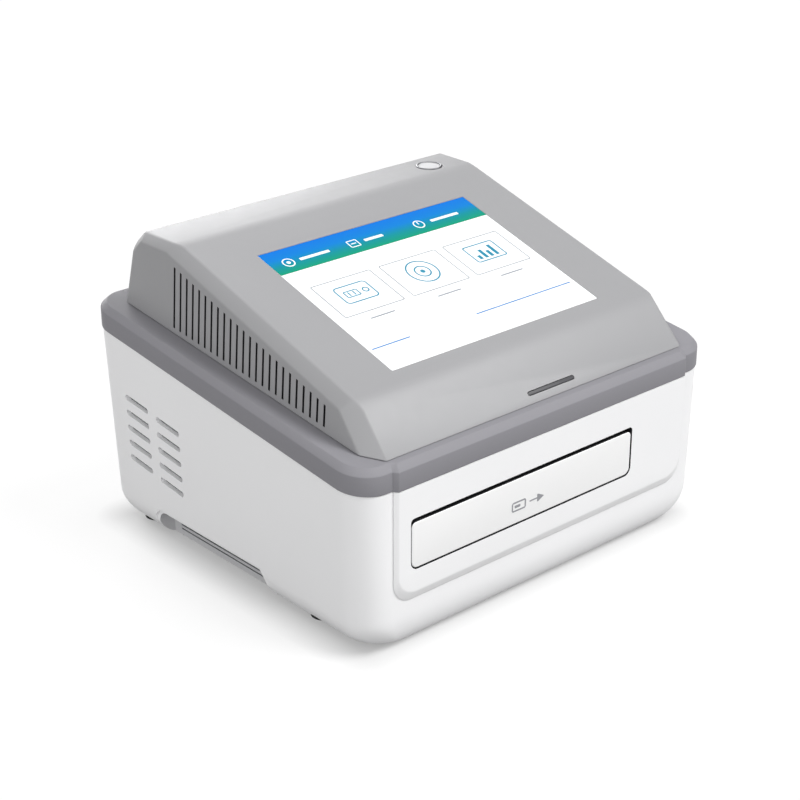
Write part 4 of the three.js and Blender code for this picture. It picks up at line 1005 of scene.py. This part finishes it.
targetX, frameX, dialX = menu["places"]
whites = [inkPlate(start, end, menu["y"] - menu["barHalf"], menu["y"] + menu["barHalf"], menu["barRadius"])
          for start, end in menu["bars"]]
whites += [inkRing(targetX, menu["y"], menu["targetRadius"], menu["line"]),
           inkDot(targetX, menu["y"], menu["dotRadius"]),
           inkBox(frameX, menu["y"], menu["frameHalf"], menu["frameRadius"], menu["line"]),
           inkBox(frameX, menu["y"], menu["dashHalf"]),
           inkRing(dialX, menu["y"], menu["dialRadius"], menu["line"]),
           inkPlate(dialX - menu["line"] / 2, dialX + menu["line"] / 2, menu["y"], menu["y"] + menu["hand"])]
finishInk(whites, "screen_menu", printedInk("menu_white", (244, 250, 252)))

greys = [inkBox(x, cards["y"], cards["half"], cards["radius"], cards["line"]) for x in cards["middles"]]
greys += [inkBox(x, cards["captionY"], cards["captionHalf"], cards["captionRadius"])
          for x in cards["middles"]]
finishInk(greys, "screen_cards", printedInk("card_grey", (150, 156, 163)))

cassetteX, discX, chartX = cards["middles"]
iconY, iconLine = icon["y"], icon["line"]
teals = [inkBox(cassetteX, iconY, cassette["half"], cassette["radius"], iconLine),
         inkBox(cassetteX + cassette["windowX"], iconY, cassette["windowHalf"], cassette["windowRadius"],
                icon["thinLine"])]
teals += [inkBox(cassetteX + place, iconY, cassette["lineHalf"]) for place in cassette["lines"]]
teals.append(inkRing(cassetteX + cassette["wellX"], iconY, cassette["wellRadius"], icon["thinLine"]))
teals += [inkRing(discX, iconY, radius, iconLine) for radius in disc["radii"]]
teals.append(inkDot(discX, iconY, disc["dot"]))
teals.append(inkBox(chartX, iconY + chart["rise"], chart["half"], chart["radius"], iconLine))
for index, high in enumerate(chart["bars"]):
    x = chartX + chart["start"] + index * chart["pitch"]
    teals.append(inkPlate(x, x + chart["barWidth"], iconY + chart["foot"], iconY + chart["foot"] + high))
finishInk(teals, "screen_icons", printedInk("icon_teal", (30, 138, 168)))

blues = [inkPlate(start, end, rules["bottom"], rules["top"]) for start, end in rules["spans"]]
finishInk(blues, "screen_lines", printedInk("line_blue", (46, 128, 196)))
print("screen made")


# Indicator and power button

lens = addPlate("lens", *sidesOf(indicator, -gap), indicator["thick"], indicator["lensRadius"],
                indicator["lensRadius"])
putAt(lens, move=(0, 0, -indicator["thick"]))
onFront(lens)
soften(lens, indicator["softness"], segments=2, angle=40)
finishPiece(lens, "indicator_bar", "case", paints["smoked_lens"], ["indicator_lens"])

trimRing = addDisc("trim_ring", button["ringOuter"], button["ringHeight"], vertices=64)
combine(trimRing, cutDisc(button["ringInner"]))
putAt(trimRing, move=(button["x"], button["y"], topZ + button["ringProud"] - button["ringHeight"]))
soften(trimRing, button["ringSoftness"], angle=40)
finishPiece(trimRing, "button_trim", "case", paints["bright_ring"], ["button_ring"])

cap = addDisc("cap", button["cap"], button["capHeight"], vertices=64)
openMesh(cap)
selectWhere(cap, "FACE", lambda face: face.normal.z > facing)
bevelEdges(button["capSoftness"], segments=4)
selectWhere(cap, "FACE", lambda face: face.normal.z > facing and len(face.verts) > 4)
bpy.ops.mesh.inset(thickness=button["dish"] * mm, depth=-button["dish"] * mm)
closeMesh()
capStem = addDisc("stem", button["stem"], button["stemHeight"], vertices=20)
putAt(capStem, move=(0, 0, button["stemInCap"] - button["stemHeight"]))
combine(cap, capStem, "UNION")
putAt(cap, move=(button["x"], button["y"], topZ + button["capProud"] - button["capHeight"]))
finishPiece(cap, "power_cap", "power_button", paints["button_white"], ["power_button"])

# the spring under the cap: a ring of wire, wound up by a screw
coil = {"turns": 6, "steps": 20, "wire": 0.4, "wireSides": 10}
springLow, springHigh = [Vector(corner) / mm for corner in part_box("button_spring")]
coilRadius, coilHeight = (springHigh.x - springLow.x) / 2 - coil["wire"], springHigh.z - springLow.z
deselectAll()
bpy.ops.mesh.primitive_circle_add(vertices=coil["wireSides"], radius=coil["wire"] * mm,
                                  rotation=(math.pi / 2, 0, 0), location=(coilRadius * mm, 0, 0))
spring = bpy.context.active_object
bpy.ops.object.transform_apply(location=True, rotation=True, scale=True)
applyModifier(spring, "SCREW", screw_offset=(coilHeight - 2 * coil["wire"]) / coil["turns"] * mm,
              iterations=coil["turns"], steps=coil["steps"], render_steps=coil["steps"])
openMesh(spring)
bpy.ops.mesh.fill_holes(sides=0)
closeMesh()
putAt(spring, move=(button["x"], button["y"], springLow.z + coil["wire"]))
finishPiece(spring, "button_coil", "case", paints["steel"], ["button_spring"])
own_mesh(spring)
print("indicator and button made")


# The CAD pieces that stay take their slot's material

kept = 0
for part in frame["record"]["subparts"]:
    node = frame["nodes"].get(part["node"])
    if node and not node.hide_render:
        coat(node, paints[part["material_slot"]])
        kept += 1
print("CAD pieces painted:", kept)


# Floor, light and camera

stage = {"floor": 6, "floorDrop": 0.2, "floorBounce": 0.24, "sky": 0.36}
# how much of the floor's white comes from the lamps: most of it beside the reader, less further off
shadow = {"reach": 160, "footprintInset": 14, "contactTone": 0.74, "contactReach": 24,
          "shares": ((0, 0.62), (0.11, 0.33), (0.28, 0.15), (1, 0.05))}
lamps = {"key": {"turn": (42, 0, 38), "strength": 2.5, "spread": 30},       # from above, front right
         "fill": {"turn": (66, 0, -62), "strength": 1.4, "spread": 70},     # from the left
         "back": {"turn": (-70, 0, -18), "strength": 2.1, "spread": 44}}    # low from behind
view = {"lens": 84.658, "sensor": 36, "nearest": 0.05, "target": (-43.73, -46.17, 104.29), "azimuth": -41.948,
        "elevation": 24.192, "distance": 1063.8}

deselectAll()
bpy.ops.mesh.primitive_plane_add(size=stage["floor"], location=(0, 0, -stage["floorDrop"] * mm))
floor = bpy.context.active_object
floor.name = "floor"
floorPaint = Paint("floor_white", specularLevel=0, roughness=1, glow=1)
rays = [floorPaint.node("ShaderNodeLightPath", output=f"Is {kind} Ray")
        for kind in ("Camera", "Transmission", "Glossy")]
seen = floorPaint.node("ShaderNodeMath", {"operation": "ADD", "use_clamp": True},
                       {0: rays[0] + rays[1], 1: rays[2]})
# how far a place on the floor lies outside the footprint
footprint = (halfWidth - shadow["footprintInset"], -frontY - shadow["footprintInset"], stage["floor"] / mm)
outside = floorPaint.place
for operation, second in (("ABSOLUTE", Vector()), ("SUBTRACT", Vector(footprint) * mm),
                          ("MAXIMUM", Vector())):
    outside = floorPaint.node("ShaderNodeVectorMath", {"operation": operation}, {0: outside, 1: second})
distance = floorPaint.node("ShaderNodeVectorMath", {"operation": "LENGTH"}, {0: outside}, output="Value")
shares = [(place, (share, share, share)) for place, share in shadow["shares"]]
lampShare = floorPaint.node("ShaderNodeValToRGB", {"stops": shares}, {0: distance / (shadow["reach"] * mm)})
# painted contact shadow: the floor's colour and glow darken to the contact tone at the footprint's edge and
# fade back over the contact reach
contact = floorPaint.node("ShaderNodeMapRange", {}, {"Value": distance, "To Min": shadow["contactTone"],
                                                   "From Max": shadow["contactReach"] * mm})
floorTone = stage["floorBounce"] + (lampShare * contact - stage["floorBounce"]) * seen
floorPaint.feed("Base Color", floorTone + 0.01 * floorPaint.noise(scale=3))
floorPaint.feed("Emission Color", (1 - lampShare) * contact * seen)
coat(floor, floorPaint.material)

for name, lamp in lamps.items():
    bpy.ops.object.light_add(type="SUN", rotation=[math.radians(angle) for angle in lamp["turn"]])
    made = bpy.context.active_object
    made.name = name
    made.data.energy = lamp["strength"]
    made.data.angle = math.radians(lamp["spread"])

bpy.context.scene.world = bpy.data.worlds.new("studio")
sky = Tree(bpy.context.scene.world, "Background")
sky.shader.inputs["Color"].default_value = (1, 1, 1, 1)
seen = sky.node("ShaderNodeMath", {"operation": "MAXIMUM"},
                {0: sky.node("ShaderNodeLightPath", output="Is Camera Ray"),
                 1: sky.node("ShaderNodeLightPath", output="Is Transmission Ray")})
sky.feed("Strength", stage["sky"] + (1 - stage["sky"]) * seen)

azimuth, elevation = math.radians(view["azimuth"]), math.radians(view["elevation"])
away = Vector((math.sin(azimuth) * math.cos(elevation), -math.cos(azimuth) * math.cos(elevation),
               math.sin(elevation)))
bpy.ops.object.camera_add(location=(Vector(view["target"]) + away * view["distance"]) * mm)
camera = bpy.context.active_object
camera.rotation_euler = (-away).to_track_quat("-Z", "Y").to_euler()
camera.data.lens = view["lens"]
camera.data.sensor_width = view["sensor"]
camera.data.clip_start = view["nearest"]
bpy.context.scene.camera = camera
bpy.context.scene.view_settings.view_transform = "Standard"
print("stage set")
